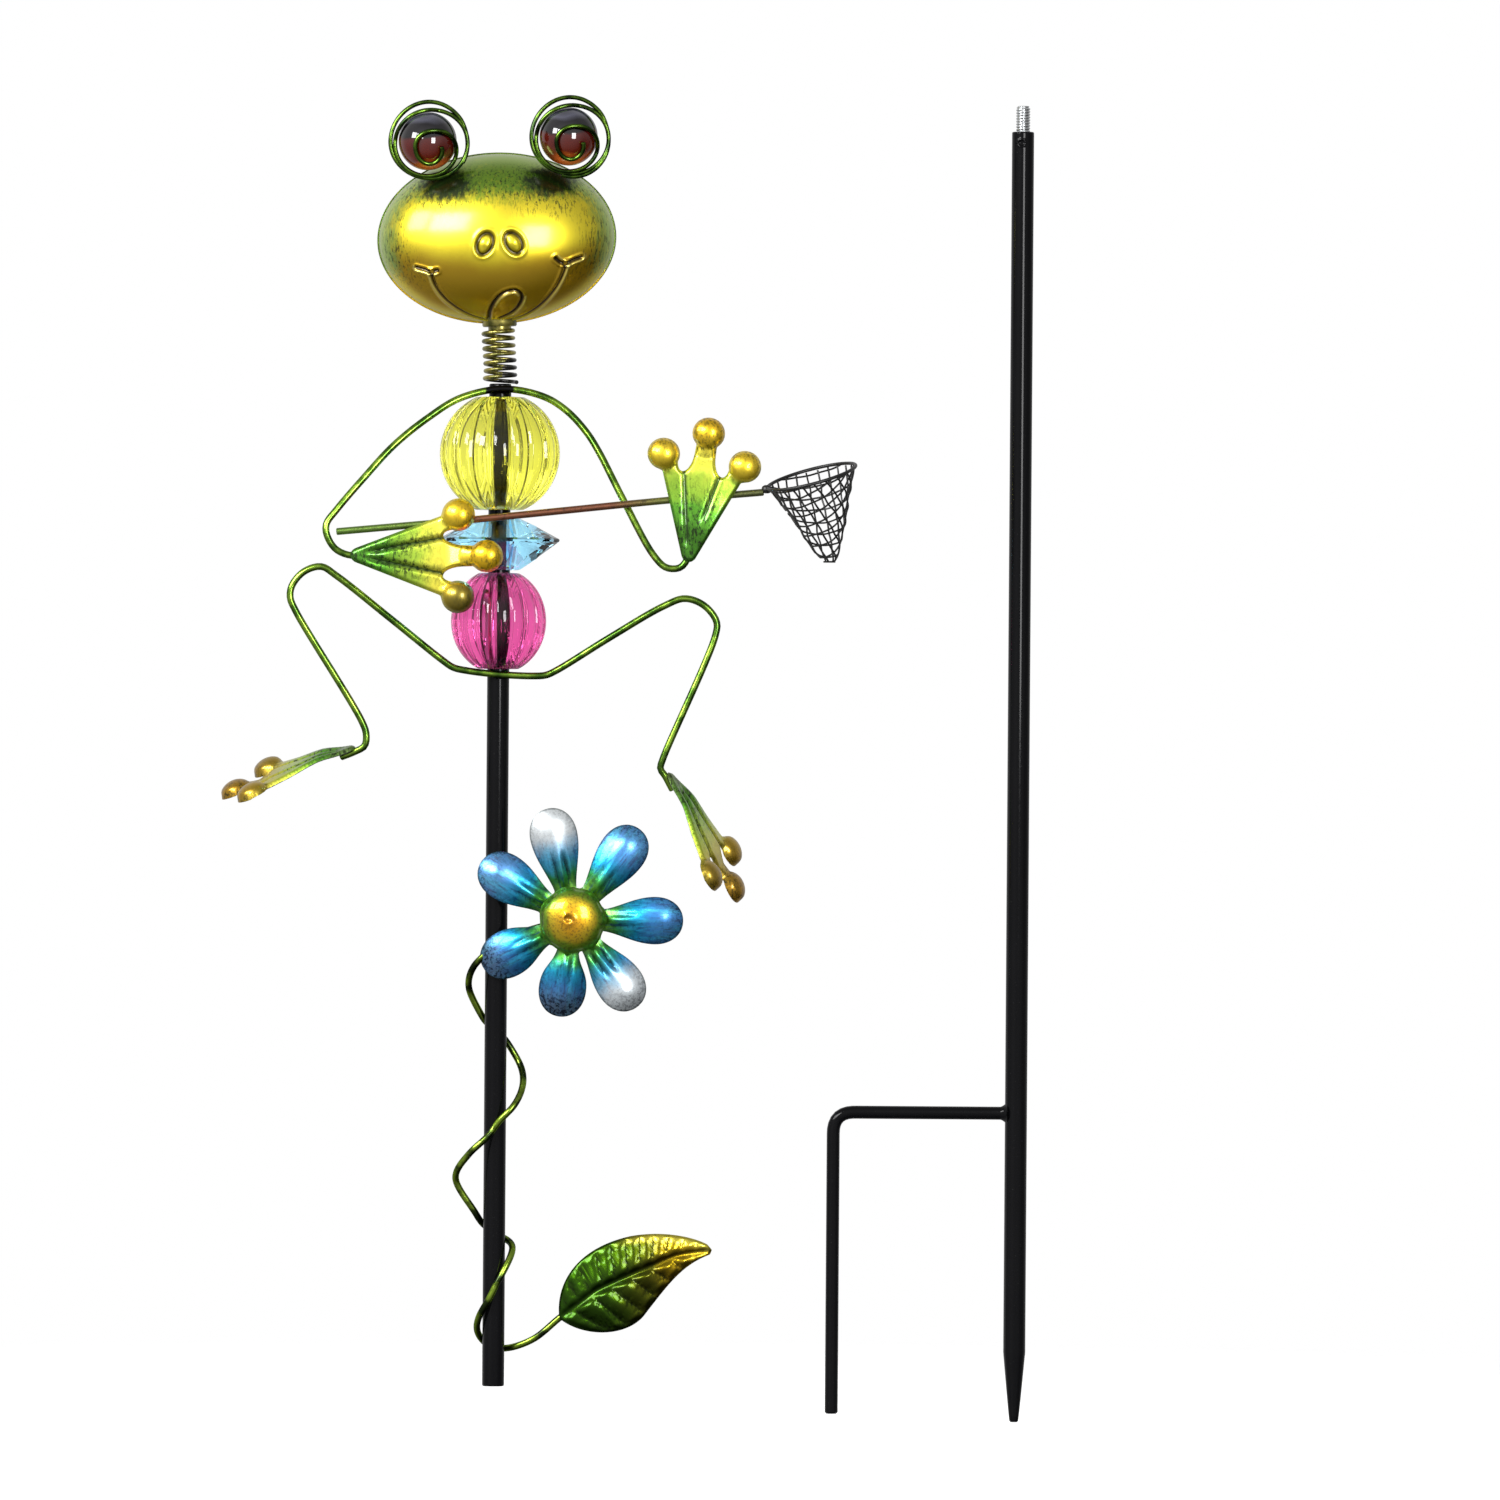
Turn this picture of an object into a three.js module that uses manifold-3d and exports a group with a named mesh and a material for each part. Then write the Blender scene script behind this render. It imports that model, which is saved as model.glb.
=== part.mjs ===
import * as THREE from 'three';
import { mergeVertices } from 'three/addons/utils/BufferGeometryUtils.js';
import Module from 'manifold-3d';

// A metal garden stake in two halves laid side by side. The ground stake is a tube with a spike,
// a fork prong and a threaded stud. The figure is a frog angler made of bent wire, stampings and
// beads on an upper pole, whose socket screws onto the stud.
// Millimetres, +Z up, the front faces -Y. The origin is the tip of the spike.

// ---------- driving dimensions ----------

const weldGap = 0.3;            // space left between pieces that touch or are welded
const tubeRadius = 4.75;        // both poles
const limbRadius = 1.5;         // arm, leg and rod wire
const vineRadius = 1.45;
const cageWireRadius = 0.9;     // wire round the marbles

const stakeHeight = 554.7;
const taperHeight = 30;
const spikeTipRadius = 1.95;
const stakeBoreRadius = 3.4;
const stakeBoreDepth = 40;
const studRadius = 3;
const studReach = 11.2;         // how far the stud stands out of the tube
const studGrip = 18;            // how far it sits in the tube
const prongHeight = 132.7;
const prongReach = 78.5;
const prongRadius = 2.8;
const prongBendRadius = 9;
const prongFootHeight = 3;

const figureX = -224;           // distance of the figure's pole from the ground stake
const figureZ = 13.8;           // its lower end above the spike's tip
const poleHeight = 431;
const poleBoreRadius = 4.05;
const poleBoreHeight = 420;
const socketRadius = 3.74;
const socketHoleRadius = 3.25;
const socketLength = 20;

const springBottom = 430.8;
const springTop = 455.6;
const springTurns = 7.25;
const springMeanRadius = 6.4;
const springWireRadius = 1;
const neckPivot = 444;          // height about which the head rocks on its spring
const headLean = 2.3;           // degrees, the head's right side sits a little higher

const headHeight = 493.6;       // height of the head's centre
const headHalf = { x: 50.75, y: 27, z: 36.25 };
const shellThickness = 0.03;    // as a share of the half sizes
const marbleRadius = 12.5;
const eyeRise = 42;             // marble centres above the head's centre
const eyeForward = 16;
const eyes = { left: -28, right: 32.5 };

const boreClearance = 0.35;     // between a bead's hole and the pole
const upperBead = { bottom: 376.7, height: 48.6, radius: 26, endRadius: 10, ribs: 16 };
const lowerBead = { bottom: 308.3, height: 41.3, radius: 20.5, endRadius: 8.5, ribs: 14 };
const discBead = { bottom: 350.9, rim: 363.8, top: 373.2, radius: 26, bottomRadius: 8, topRadius: 9.2, facets: 12 };

const handFront = 27.6;         // the hands' back faces stand this far in front of the poles' plane
const limbFront = 25.7;         // the wire ends and the rod behind the hands
const toeBallRadius = 7;
const plateThickness = 1.2;

const hoopCentre = new THREE.Vector3(134, -limbFront, 391.5);
const hoopRadius = 19.5;
const hoopWireRadius = 1;
const hoopRoll = 14.7;          // degrees, its far end from the pole sits higher
const hoopPitch = 10.6;         // degrees, its front edge sits lower
const netTip = new THREE.Vector3(142.1, -limbFront, 354.6);

const flowerCentre = new THREE.Vector3(32.9, -13.2, 200.8);
const petals = [                // each petal's direction in degrees and its length
  [0, 47.5], [54, 48.5], [103, 49], [148, 46.5], [208, 43.6], [262, 42], [307, 46.5],
];
const petalHalfWidth = 10.4;
const capRadius = 13.4;

const leafBase = new THREE.Vector3(28.3, 0.5, 29.2);

// ---------- materials ----------

function look(color, roughness, metalness) {
  return new THREE.MeshStandardMaterial({ color, roughness, metalness });
}

const blackPaint = look(0x0c0c0d, 0.25, 0.3);
const zinc = look(0xb5b8ba, 0.35, 1);
const greenLacquer = look(0x4f8a1e, 0.25, 0.8);
const goldLacquer = look(0xb9a312, 0.3, 0.85);
const copperLacquer = look(0x8a5530, 0.3, 0.8);
const olive = look(0x8f8a2c, 0.35, 0.9);
const amberGlass = look(0x5a2410, 0.05, 0);
const yellowAcrylic = look(0xd8d84a, 0.08, 0);
const blueAcrylic = look(0x9fd6ea, 0.08, 0);
const pinkAcrylic = look(0xd84a96, 0.08, 0);
const blueLacquer = look(0x2f83b8, 0.25, 0.8);
const leafLacquer = look(0x2c4a0c, 0.25, 0.7);
const blackWire = look(0x111111, 0.4, 0.6);

// ---------- helpers ----------

const wasm = await Module();
wasm.setup();

function named(name, geometry, material) {
  const mesh = new THREE.Mesh(geometry, material);
  mesh.name = name;
  return mesh;
}

function solid(geometry) {
  const plain = geometry.clone();
  plain.deleteAttribute('normal');
  plain.deleteAttribute('uv');
  const merged = mergeVertices(plain, 1e-4);
  const vertProperties = Float32Array.from(merged.attributes.position.array);
  const triVerts = Uint32Array.from(merged.index.array);
  return new wasm.Manifold(new wasm.Mesh({ numProp: 3, vertProperties, triVerts }));
}

function geometryOf(manifold) {
  const mesh = manifold.getMesh();
  const geometry = new THREE.BufferGeometry();
  geometry.setAttribute('position', new THREE.BufferAttribute(Float32Array.from(mesh.vertProperties), 3));
  geometry.setIndex(Array.from(mesh.triVerts));
  geometry.computeVertexNormals();
  return geometry;
}

// A turned piece about Z, from a profile of [radius, height] pairs.
function turned(profile, sides) {
  const points = profile.map(([radius, height]) => new THREE.Vector2(radius, height));
  return new THREE.LatheGeometry(points, sides).rotateX(Math.PI / 2);
}

function roundSection(radius, sides) {
  const shape = new THREE.Shape();
  shape.moveTo(radius, 0);
  for (let i = 1; i < sides; i += 1) {
    const angle = (2 * Math.PI * i) / sides;
    shape.lineTo(radius * Math.cos(angle), radius * Math.sin(angle));
  }
  return shape;
}

function sweep(path, radius, steps, sides = 6) {
  return new THREE.ExtrudeGeometry(roundSection(radius, sides), { extrudePath: path, steps, bevelEnabled: false });
}

function through(points) {
  return new THREE.CatmullRomCurve3(points.map((p) => new THREE.Vector3(...p)));
}

// The larger of two values, rounded off where they are within `width` of each other.
function smoothMax(a, b, width) {
  const share = THREE.MathUtils.clamp(0.5 + (0.5 * (a - b)) / width, 0, 1);
  return THREE.MathUtils.lerp(b, a, share) + width * share * (1 - share) * 0.5;
}

// A flat plate in the XZ plane, from its back face forwards (towards -Y).
function plate(shape, thickness, curveSegments) {
  const settings = { depth: thickness, bevelEnabled: false, curveSegments };
  return new THREE.ExtrudeGeometry(shape, settings).rotateX(Math.PI / 2);
}

// ---------- ground stake ----------

function makeStakeTube() {
  const profile = [
    [0, 0],
    [spikeTipRadius, 0],
    [tubeRadius, taperHeight],
    [tubeRadius, stakeHeight],
    [stakeBoreRadius, stakeHeight],
    [stakeBoreRadius, stakeHeight - stakeBoreDepth],
    [0, stakeHeight - stakeBoreDepth],
  ];
  return named('stake_tube', turned(profile, 24), blackPaint);
}

function makeStud() {
  const top = stakeHeight + studReach;
  const chamfer = 0.8;
  const profile = [
    [0, stakeHeight - studGrip],
    [studRadius, stakeHeight - studGrip],
    [studRadius, top - chamfer],
    [studRadius - chamfer, top],
    [0, top],
  ];
  return named('threaded_stud', turned(profile, 20), zinc);
}

function makeProng() {
  const startX = -tubeRadius - weldGap;
  const cornerX = -prongReach;
  const path = new THREE.CurvePath();
  const bendStart = new THREE.Vector3(cornerX + prongBendRadius, 0, prongHeight);
  const corner = new THREE.Vector3(cornerX, 0, prongHeight);
  const bendEnd = new THREE.Vector3(cornerX, 0, prongHeight - prongBendRadius);
  path.add(new THREE.LineCurve3(new THREE.Vector3(startX, 0, prongHeight), bendStart));
  path.add(new THREE.QuadraticBezierCurve3(bendStart, corner, bendEnd));
  path.add(new THREE.LineCurve3(bendEnd, new THREE.Vector3(cornerX, 0, prongFootHeight)));
  return named('fork_prong', sweep(path, prongRadius, 32, 8), blackPaint);
}

// ---------- figure: pole and limbs ----------

function makePole() {
  const chamfer = 0.8;
  const profile = [
    [0, poleBoreHeight],
    [poleBoreRadius, poleBoreHeight],
    [poleBoreRadius, 0],
    [tubeRadius, 0],
    [tubeRadius, poleHeight - chamfer],
    [tubeRadius - chamfer, poleHeight],
    [0, poleHeight],
  ];
  return named('figure_pole', turned(profile, 24), blackPaint);
}

function makeSocket() {
  const rise = 1;
  const profile = [
    [socketHoleRadius, rise],
    [socketRadius, rise],
    [socketRadius, rise + socketLength],
    [socketHoleRadius, rise + socketLength],
    [socketHoleRadius, rise],
  ];
  return named('socket_insert', turned(profile, 20), zinc);
}

const hands = {
  left_hand: { heel: [-62.3, -handFront, 356.5], toes: [1, 0, 0], face: [0, -1, 0] },
  right_hand: { heel: [81.4, -handFront, 355.4], toes: [0.154, 0, 0.988], face: [0, -1, 0] },
  left_foot: { heel: [-61.9, -9, 274.1], toes: [-0.89, 0.28, -0.36], face: [-0.42, -0.21, 0.88] },
  right_foot: { heel: [73.8, -9, 263.6], toes: [0.47, 0.16, -0.87], face: [0.85, -0.34, 0.4] },
};

function stampingAxes(place) {
  const along = new THREE.Vector3(...place.toes).normalize();
  const out = new THREE.Vector3(...place.face);
  out.addScaledVector(along, -out.dot(along)).normalize();
  const across = new THREE.Vector3().crossVectors(out, along);
  return { along, across, out };
}

// A point on the wire that runs under a stamping: `reach` from the heel, just behind the plate.
function underStamping(place, reach) {
  const { along, out } = stampingAxes(place);
  const point = new THREE.Vector3(...place.heel);
  point.addScaledVector(along, reach).addScaledVector(out, -limbRadius - 1.4 * weldGap);
  return point.toArray();
}

// The hands and feet are one stamping: a wedge-shaped palm whose three toes end in domed balls.
// X runs from the heel to the toes, Y across the palm and Z out of the raised face.
function makeStamping(name) {
  const place = hands[name];
  const middle = { x: 56, y: 0, join: 39 };
  const side = { x: 44, y: 17.5, join: 39, lean: 30 };
  const radians = THREE.MathUtils.degToRad;
  const shape = new THREE.Shape();
  shape.moveTo(0, -2.6);
  shape.lineTo(35.5, -17.2);
  shape.absarc(side.x, -side.y, toeBallRadius, radians(180 + side.join - side.lean),
    radians(180 - side.join - side.lean), false);
  shape.quadraticCurveTo(36, -7.4, 39.5, -5.2);
  shape.absarc(middle.x, 0, toeBallRadius, radians(180 + middle.join), radians(180 - middle.join), false);
  shape.lineTo(39.5, 5.2);
  shape.quadraticCurveTo(36, 7.4, 41.6, 11.2);
  shape.absarc(side.x, side.y, toeBallRadius, radians(180 + side.join + side.lean),
    radians(180 - side.join + side.lean), false);
  shape.lineTo(35.5, 17.2);
  shape.lineTo(0, 2.6);
  const settings = { depth: plateThickness, bevelEnabled: false, curveSegments: 8 };
  let body = solid(new THREE.ExtrudeGeometry(shape, settings));
  const domeHeight = 3.6;
  const domeBase = toeBallRadius - 0.7;
  const dome = [[0, 0.4], [domeBase, 0.4], [domeBase, plateThickness + 0.2],
    [domeBase * 0.86, plateThickness + domeHeight * 0.5], [domeBase * 0.5, plateThickness + domeHeight * 0.87],
    [0, plateThickness + domeHeight]];
  for (const [x, y] of [[middle.x, 0], [side.x, side.y], [side.x, -side.y]]) {
    body = body.add(solid(turned(dome, 12).translate(x, y, 0)));
  }
  const mesh = named(name, geometryOf(body), goldLacquer);
  const { along, across, out } = stampingAxes(place);
  mesh.quaternion.setFromRotationMatrix(new THREE.Matrix4().makeBasis(along, across, out));
  mesh.position.set(...place.heel);
  return mesh;
}

function makeArmWire() {
  const route = through([
    underStamping(hands.left_hand, 6),
    underStamping(hands.left_hand, -1.5),
    [-69.7, -25.3, 359.2],
    [-73.4, -25, 365.2],
    [-73.6, -24.5, 369.8],
    [-69.1, -23.5, 376.2],
    [-57.9, -20.5, 389.6],
    [-45.2, -16.5, 403.8],
    [-30.8, -12, 415.8],
    [-16.8, -8.6, 424.6],
    [1.5, -tubeRadius - limbRadius - weldGap, 428.6],
    [19, -8.4, 425.3],
    [28.9, -10, 419.2],
    [37.3, -12.5, 410.2],
    [42.8, -15, 401.6],
    [52.5, -19, 382.9],
    [66.6, -23.5, 357.4],
    [72.2, -25, 352.1],
    [78.2, -25.4, 352.3],
    underStamping(hands.right_hand, 2),
    underStamping(hands.right_hand, 8),
  ]);
  return named('arm_wire', sweep(route, limbRadius, 72), greenLacquer);
}

function makeLegWire() {
  const route = through([
    underStamping(hands.left_foot, 7),
    underStamping(hands.left_foot, 0),
    [-57, -9.6, 274.8],
    [-56.3, -9.6, 279.7],
    [-58, -9.4, 284.9],
    [-86.9, -9, 332.4],
    [-89.4, -9, 338.4],
    [-88.6, -8.8, 343.6],
    [-83.4, -8.6, 349.6],
    [-76.1, -8.4, 351.7],
    [-69.7, -8.2, 347.9],
    [-18.1, -7.2, 308],
    [0, -tubeRadius - limbRadius - weldGap, 305.6],
    [19.4, -7.2, 305.8],
    [71, -8.2, 335.8],
    [80, -8.4, 339.1],
    [88.2, -8.6, 336.3],
    [93.7, -8.8, 329.4],
    [93.3, -9, 323.4],
    [71, -9, 269.8],
    [70.1, -8.8, 266],
    underStamping(hands.right_foot, 0),
    underStamping(hands.right_foot, 7),
  ]);
  return named('leg_wire', sweep(route, limbRadius, 84), greenLacquer);
}

function makeNetRod() {
  const route = through([
    [-69.3, -limbFront, 366.5],
    [-8.6, -limbFront, 372.3],
    [71.9, -limbFront, 380.9],
    [113.6, -limbFront, 384.7],
  ]);
  return named('net_rod', sweep(route, limbRadius, 12), copperLacquer);
}

// ---------- figure: landing net ----------

function makeHoop() {
  const profile = [];
  const sides = 6;
  for (let i = 0; i <= sides; i += 1) {
    const angle = (2 * Math.PI * i) / sides;
    profile.push([hoopRadius + hoopWireRadius * Math.cos(angle), hoopWireRadius * Math.sin(angle)]);
  }
  const mesh = named('net_hoop', turned(profile, 28), blackWire);
  mesh.position.copy(hoopCentre);
  mesh.rotation.set(THREE.MathUtils.degToRad(hoopPitch), THREE.MathUtils.degToRad(-hoopRoll), 0);
  return mesh;
}

// The bag is a leaning cone hung inside the hoop. Its rings level out towards the tip.
function makeNetBag() {
  const sides = 20;
  const levels = 6;
  const wall = 0.8;
  const rimRadius = hoopRadius - hoopWireRadius - 2 * weldGap;
  const endRadius = 3.4;
  const roll = THREE.MathUtils.degToRad(hoopRoll);
  const pitch = THREE.MathUtils.degToRad(hoopPitch);
  const positions = [];
  const addRing = (share, inset) => {
    const centre = hoopCentre.clone().lerp(netTip, share);
    const radius = THREE.MathUtils.lerp(rimRadius, endRadius, share) - inset;
    const level = 1 - share;
    for (let i = 0; i < sides; i += 1) {
      const angle = (2 * Math.PI * i) / sides;
      const across = radius * Math.cos(angle);
      const back = radius * Math.sin(angle);
      positions.push(
        centre.x + across * Math.cos(roll * level),
        centre.y + back * Math.cos(pitch * level),
        centre.z + across * Math.sin(roll * level) + back * Math.sin(pitch * level),
      );
    }
  };
  for (let i = levels; i >= 0; i -= 1) {
    addRing(i / levels, 0);
  }
  for (let i = 0; i <= levels; i += 1) {
    addRing(Math.min(i / levels, 0.97), wall);
  }
  const rings = 2 * (levels + 1);
  const outerTip = positions.length / 3;
  positions.push(netTip.x, netTip.y, netTip.z - 1.6);
  positions.push(netTip.x, netTip.y, netTip.z - 0.2);
  const index = [];
  for (let ring = 0; ring < rings - 1; ring += 1) {
    for (let i = 0; i < sides; i += 1) {
      const next = (i + 1) % sides;
      const a = ring * sides + i;
      const b = ring * sides + next;
      const c = a + sides;
      const d = b + sides;
      index.push(a, b, d, a, d, c);
    }
  }
  const last = (rings - 1) * sides;
  for (let i = 0; i < sides; i += 1) {
    const next = (i + 1) % sides;
    index.push(outerTip, next, i);
    index.push(outerTip + 1, last + i, last + next);
  }
  const geometry = new THREE.BufferGeometry();
  geometry.setAttribute('position', new THREE.Float32BufferAttribute(positions, 3));
  geometry.setIndex(index);
  geometry.computeVertexNormals();
  return named('net_bag', geometry, blackWire);
}

// ---------- figure: vine, leaf and flower ----------

// The vine winds up the pole. Each station is [turn in degrees, distance from the pole's axis,
// height], with 0 degrees on the right, 90 behind, 180 on the left and 270 in front.
const vineStations = [
  [0, 27.9, 29.2],
  [8, 17.9, 20.6],
  [30, 9.4, 16.6],
  [90, 7.1, 16.3],
  [150, 7.1, 21.5],
  [245, 7.2, 35.7],
  [290, 7.2, 46.4],
  [360, 7.9, 59.3],
  [450, 7.2, 65.8],
  [520, 7.9, 73.1],
  [545, 16.8, 89.4],
  [575, 13, 100.2],
  [627, 7.3, 110.9],
  [678, 10.6, 120.4],
  [715, 12, 130.3],
  [745, 11.3, 138.9],
  [770, 7.9, 147.5],
  [808, 7.2, 152.7],
  [860, 7.2, 158.2],
  [900, 11.6, 171.1],
  [935, 11.4, 180.6],
  [988, 8.9, 190],
  [1046, 18.9, 196.8],
  [1061.5, 34, 200.8],
];

class VineCurve extends THREE.Curve {
  constructor() {
    super();
    // A degree of turn counts for less than a millimetre, which keeps the three columns in balance.
    this.turnScale = 0.12;
    const stations = vineStations.map(([turn, reach, height]) =>
      new THREE.Vector3(turn * this.turnScale, reach, height));
    this.stations = new THREE.CatmullRomCurve3(stations);
  }

  getPoint(t, target = new THREE.Vector3()) {
    const station = this.stations.getPoint(t);
    const angle = THREE.MathUtils.degToRad(station.x / this.turnScale);
    return target.set(station.y * Math.cos(angle), station.y * Math.sin(angle), station.z);
  }
}

function makeVine() {
  return named('vine_wire', sweep(new VineCurve(), vineRadius, 92), greenLacquer);
}

function makeLeaf() {
  const shape = new THREE.Shape();
  shape.moveTo(0, 0);
  shape.bezierCurveTo(-2, 14, 6, 30, 30, 35.6);
  shape.bezierCurveTo(42, 38, 56, 36.5, 64.5, 31.8);
  shape.lineTo(64.3, 27.8);
  shape.bezierCurveTo(52, 23, 46, 14, 36, 1);
  shape.bezierCurveTo(28, -8, 10, -8, 0, 0);
  const mesh = named('leaf', plate(shape, 1, 8), leafLacquer);
  mesh.position.copy(leafBase);
  return mesh;
}

// One stamping: a disc with seven tear-shaped petals, each bent by hand to its own angle.
function makePetals() {
  const shape = new THREE.Shape();
  const rootReach = 12.5;
  const rootHalf = 4.6;
  petals.forEach(([degrees, length], i) => {
    const angle = THREE.MathUtils.degToRad(degrees);
    const wide = length - 12;
    const at = (along, across) => [
      along * Math.cos(angle) - across * Math.sin(angle),
      along * Math.sin(angle) + across * Math.cos(angle),
    ];
    const start = at(rootReach, -rootHalf);
    if (i === 0) {
      shape.moveTo(...start);
    } else {
      shape.lineTo(...start);
    }
    shape.bezierCurveTo(...at(20, -5.5), ...at(wide - 9, -petalHalfWidth), ...at(wide, -petalHalfWidth));
    shape.bezierCurveTo(...at(wide + 7, -petalHalfWidth), ...at(length, -6), ...at(length, 0));
    shape.bezierCurveTo(...at(length, 6), ...at(wide + 7, petalHalfWidth), ...at(wide, petalHalfWidth));
    shape.bezierCurveTo(...at(wide - 9, petalHalfWidth), ...at(20, 5.5), ...at(rootReach, rootHalf));
  });
  const mesh = named('flower_petals', plate(shape, plateThickness, 4), blueLacquer);
  mesh.position.copy(flowerCentre);
  return mesh;
}

function makeFlowerCap() {
  const height = 6.5;
  const profile = [];
  const arcs = 5;
  profile.push([0, 0]);
  for (let i = 0; i <= arcs; i += 1) {
    const angle = (Math.PI / 2) * (i / arcs);
    profile.push([i === arcs ? 0 : capRadius * Math.cos(angle), height * Math.sin(angle)]);
  }
  // The dome rises towards the front.
  const geometry = turned(profile, 20).rotateX(Math.PI / 2);
  const mesh = named('flower_cap', geometry, goldLacquer);
  mesh.position.copy(flowerCentre);
  mesh.position.y -= plateThickness + weldGap;
  return mesh;
}

// ---------- beads ----------

// A melon bead: an ellipse with flat ends, ribbed all round, with a hole for the pole.
function makeMelonBead(name, bead, material) {
  const half = bead.height / 2;
  const reach = half / Math.sqrt(1 - (bead.endRadius / bead.radius) ** 2);
  const rows = 9;
  const bore = tubeRadius + boreClearance;
  const profile = [[bore, -half]];
  for (let i = 0; i <= rows; i += 1) {
    const height = -half * Math.cos((Math.PI * i) / rows);
    profile.push([bead.radius * Math.sqrt(1 - (height / reach) ** 2), height]);
  }
  profile.push([bore, half], [bore, -half]);
  const geometry = turned(profile, 2 * bead.ribs);
  const position = geometry.attributes.position;
  const grooveDepth = 0.05;
  for (let i = 0; i < position.count; i += 1) {
    const x = position.getX(i);
    const y = position.getY(i);
    if (Math.hypot(x, y) > bore + 1) {
      const step = Math.round((Math.atan2(y, x) * bead.ribs) / Math.PI);
      const share = step % 2 === 0 ? 1 : 1 - grooveDepth;
      position.setX(i, x * share);
      position.setY(i, y * share);
    }
  }
  const mesh = named(name, geometry, material);
  mesh.position.z = bead.bottom + half;
  return mesh;
}

function makeDiscBead() {
  const bore = (tubeRadius + boreClearance) / Math.cos(Math.PI / discBead.facets);
  const edge = 0.8;
  const profile = [
    [bore, discBead.bottom],
    [discBead.bottomRadius, discBead.bottom],
    [discBead.radius, discBead.rim - edge],
    [discBead.radius, discBead.rim + edge],
    [discBead.topRadius, discBead.top],
    [bore, discBead.top],
    [bore, discBead.bottom],
  ];
  return named('disc_bead', turned(profile, discBead.facets), blueAcrylic);
}

// ---------- neck and head ----------

class SpringCurve extends THREE.Curve {
  getPoint(t, target = new THREE.Vector3()) {
    const angle = 2 * Math.PI * springTurns * t;
    const height = THREE.MathUtils.lerp(springBottom + springWireRadius, springTop - springWireRadius, t);
    return target.set(springMeanRadius * Math.cos(angle), springMeanRadius * Math.sin(angle), height);
  }
}

function makeNeckSpring() {
  return named('neck_spring', sweep(new SpringCurve(), springWireRadius, Math.round(11 * springTurns), 5), olive);
}

// Half of the head: a thin bowl turned about the front-back axis and stretched to the head's half sizes.
function makeHeadShell(name, forwards) {
  const rows = 7;
  const seam = weldGap / 2 / headHalf.y;
  const points = [];
  for (let i = 0; i <= rows; i += 1) {
    const angle = (Math.PI / 2) * (1 - i / rows);
    points.push(new THREE.Vector2(i === 0 ? 0 : Math.cos(angle), seam + (1 - seam) * Math.sin(angle)));
  }
  const inner = 1 - shellThickness;
  for (let i = rows; i >= 0; i -= 1) {
    const angle = (Math.PI / 2) * (1 - i / rows);
    const height = seam + (inner - seam) * Math.sin(angle);
    points.push(new THREE.Vector2(i === 0 ? 0 : inner * Math.cos(angle), height));
  }
  const geometry = new THREE.LatheGeometry(points.reverse(), 30);
  geometry.scale(headHalf.x, headHalf.y, headHalf.z);
  if (forwards) {
    geometry.rotateZ(Math.PI);
  }
  const mesh = named(name, geometry, goldLacquer);
  mesh.position.z = headHeight;
  return mesh;
}

// A short stub welded under the head, with a spigot that the spring's top turns grip.
function makeNeckCollar() {
  const spigotDepth = 3;
  const stub = [
    [0, springTop - spigotDepth],
    [springMeanRadius - springWireRadius - weldGap, springTop - spigotDepth],
    [springMeanRadius - springWireRadius - weldGap, springTop + weldGap],
    [springMeanRadius, springTop + weldGap],
    [springMeanRadius, springTop + 5],
    [0, springTop + 5],
  ];
  const room = new THREE.SphereGeometry(1, 32, 24);
  room.scale(headHalf.x + weldGap, headHalf.y + weldGap, headHalf.z + weldGap);
  room.translate(0, 0, headHeight);
  const body = solid(turned(stub, 20)).subtract(solid(room));
  return named('neck_collar', geometryOf(body), olive);
}

// The wire cage is a spiral that starts with a small loop over the marble's front, lies down on the
// marble as it widens, and ends in two wide turns round it. Each station is [turn in degrees, radius],
// clockwise from the right as seen from the front. The last turn comes down on the head.
const cageStations = [
  [10, 4.7],
  [99, 7.9],
  [180, 6.7],
  [279, 6.3],
  [360, 10.6],
  [454, 12.6],
  [547, 15.7],
  [623, 15.6],
  [691, 16],
  [816, 13.6],
  [913, 17.9],
  [984, 19.3],
  [1033, 17.4],
  [1064, 15.8],
];
const cageEnds = { left: [1110, 15], right: [1190, 14.8] };
const cageOffset = { x: 1.5, z: -1.6 };   // the spiral's centre, from the marble's

class CageCurve extends THREE.Curve {
  constructor(marble, end) {
    super();
    this.marble = marble;
    // A degree of turn counts for a small length, which keeps the two columns in balance.
    this.turnScale = 0.06;
    const stations = [...cageStations, end].map(([turn, radius]) =>
      new THREE.Vector3(turn * this.turnScale, radius, 0));
    this.stations = new THREE.CatmullRomCurve3(stations);
  }

  getPoint(t, target = new THREE.Vector3()) {
    const station = this.stations.getPoint(t);
    const turn = station.x / this.turnScale;
    const angle = THREE.MathUtils.degToRad(-turn);
    const x = cageOffset.x + station.y * Math.cos(angle);
    const z = cageOffset.z + station.y * Math.sin(angle);
    // The wire touches the marble where it can, and otherwise sinks back a little with each turn.
    const contact = marbleRadius + cageWireRadius + weldGap;
    const onMarble = Math.sqrt(Math.max(contact ** 2 - x ** 2 - z ** 2, 0));
    const level = 4.5 - 2.4 * (turn / 360);
    const front = smoothMax(onMarble, level, 2);
    return target.set(this.marble.x + x, this.marble.y - front, this.marble.z + z);
  }
}

function makeEye(side) {
  const marble = new THREE.Vector3(eyes[side], -eyeForward, headHeight + eyeRise);
  const ball = named(`${side}_marble`, new THREE.SphereGeometry(marbleRadius, 20, 12), amberGlass);
  ball.position.copy(marble);
  const cage = named(`${side}_eye_cage`, sweep(new CageCurve(marble, cageEnds[side]), cageWireRadius, 84, 5), greenLacquer);
  return [ball, cage];
}

// ---------- assembly ----------

const head = new THREE.Group();
head.position.z = neckPivot;
head.rotation.y = THREE.MathUtils.degToRad(-headLean);

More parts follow.
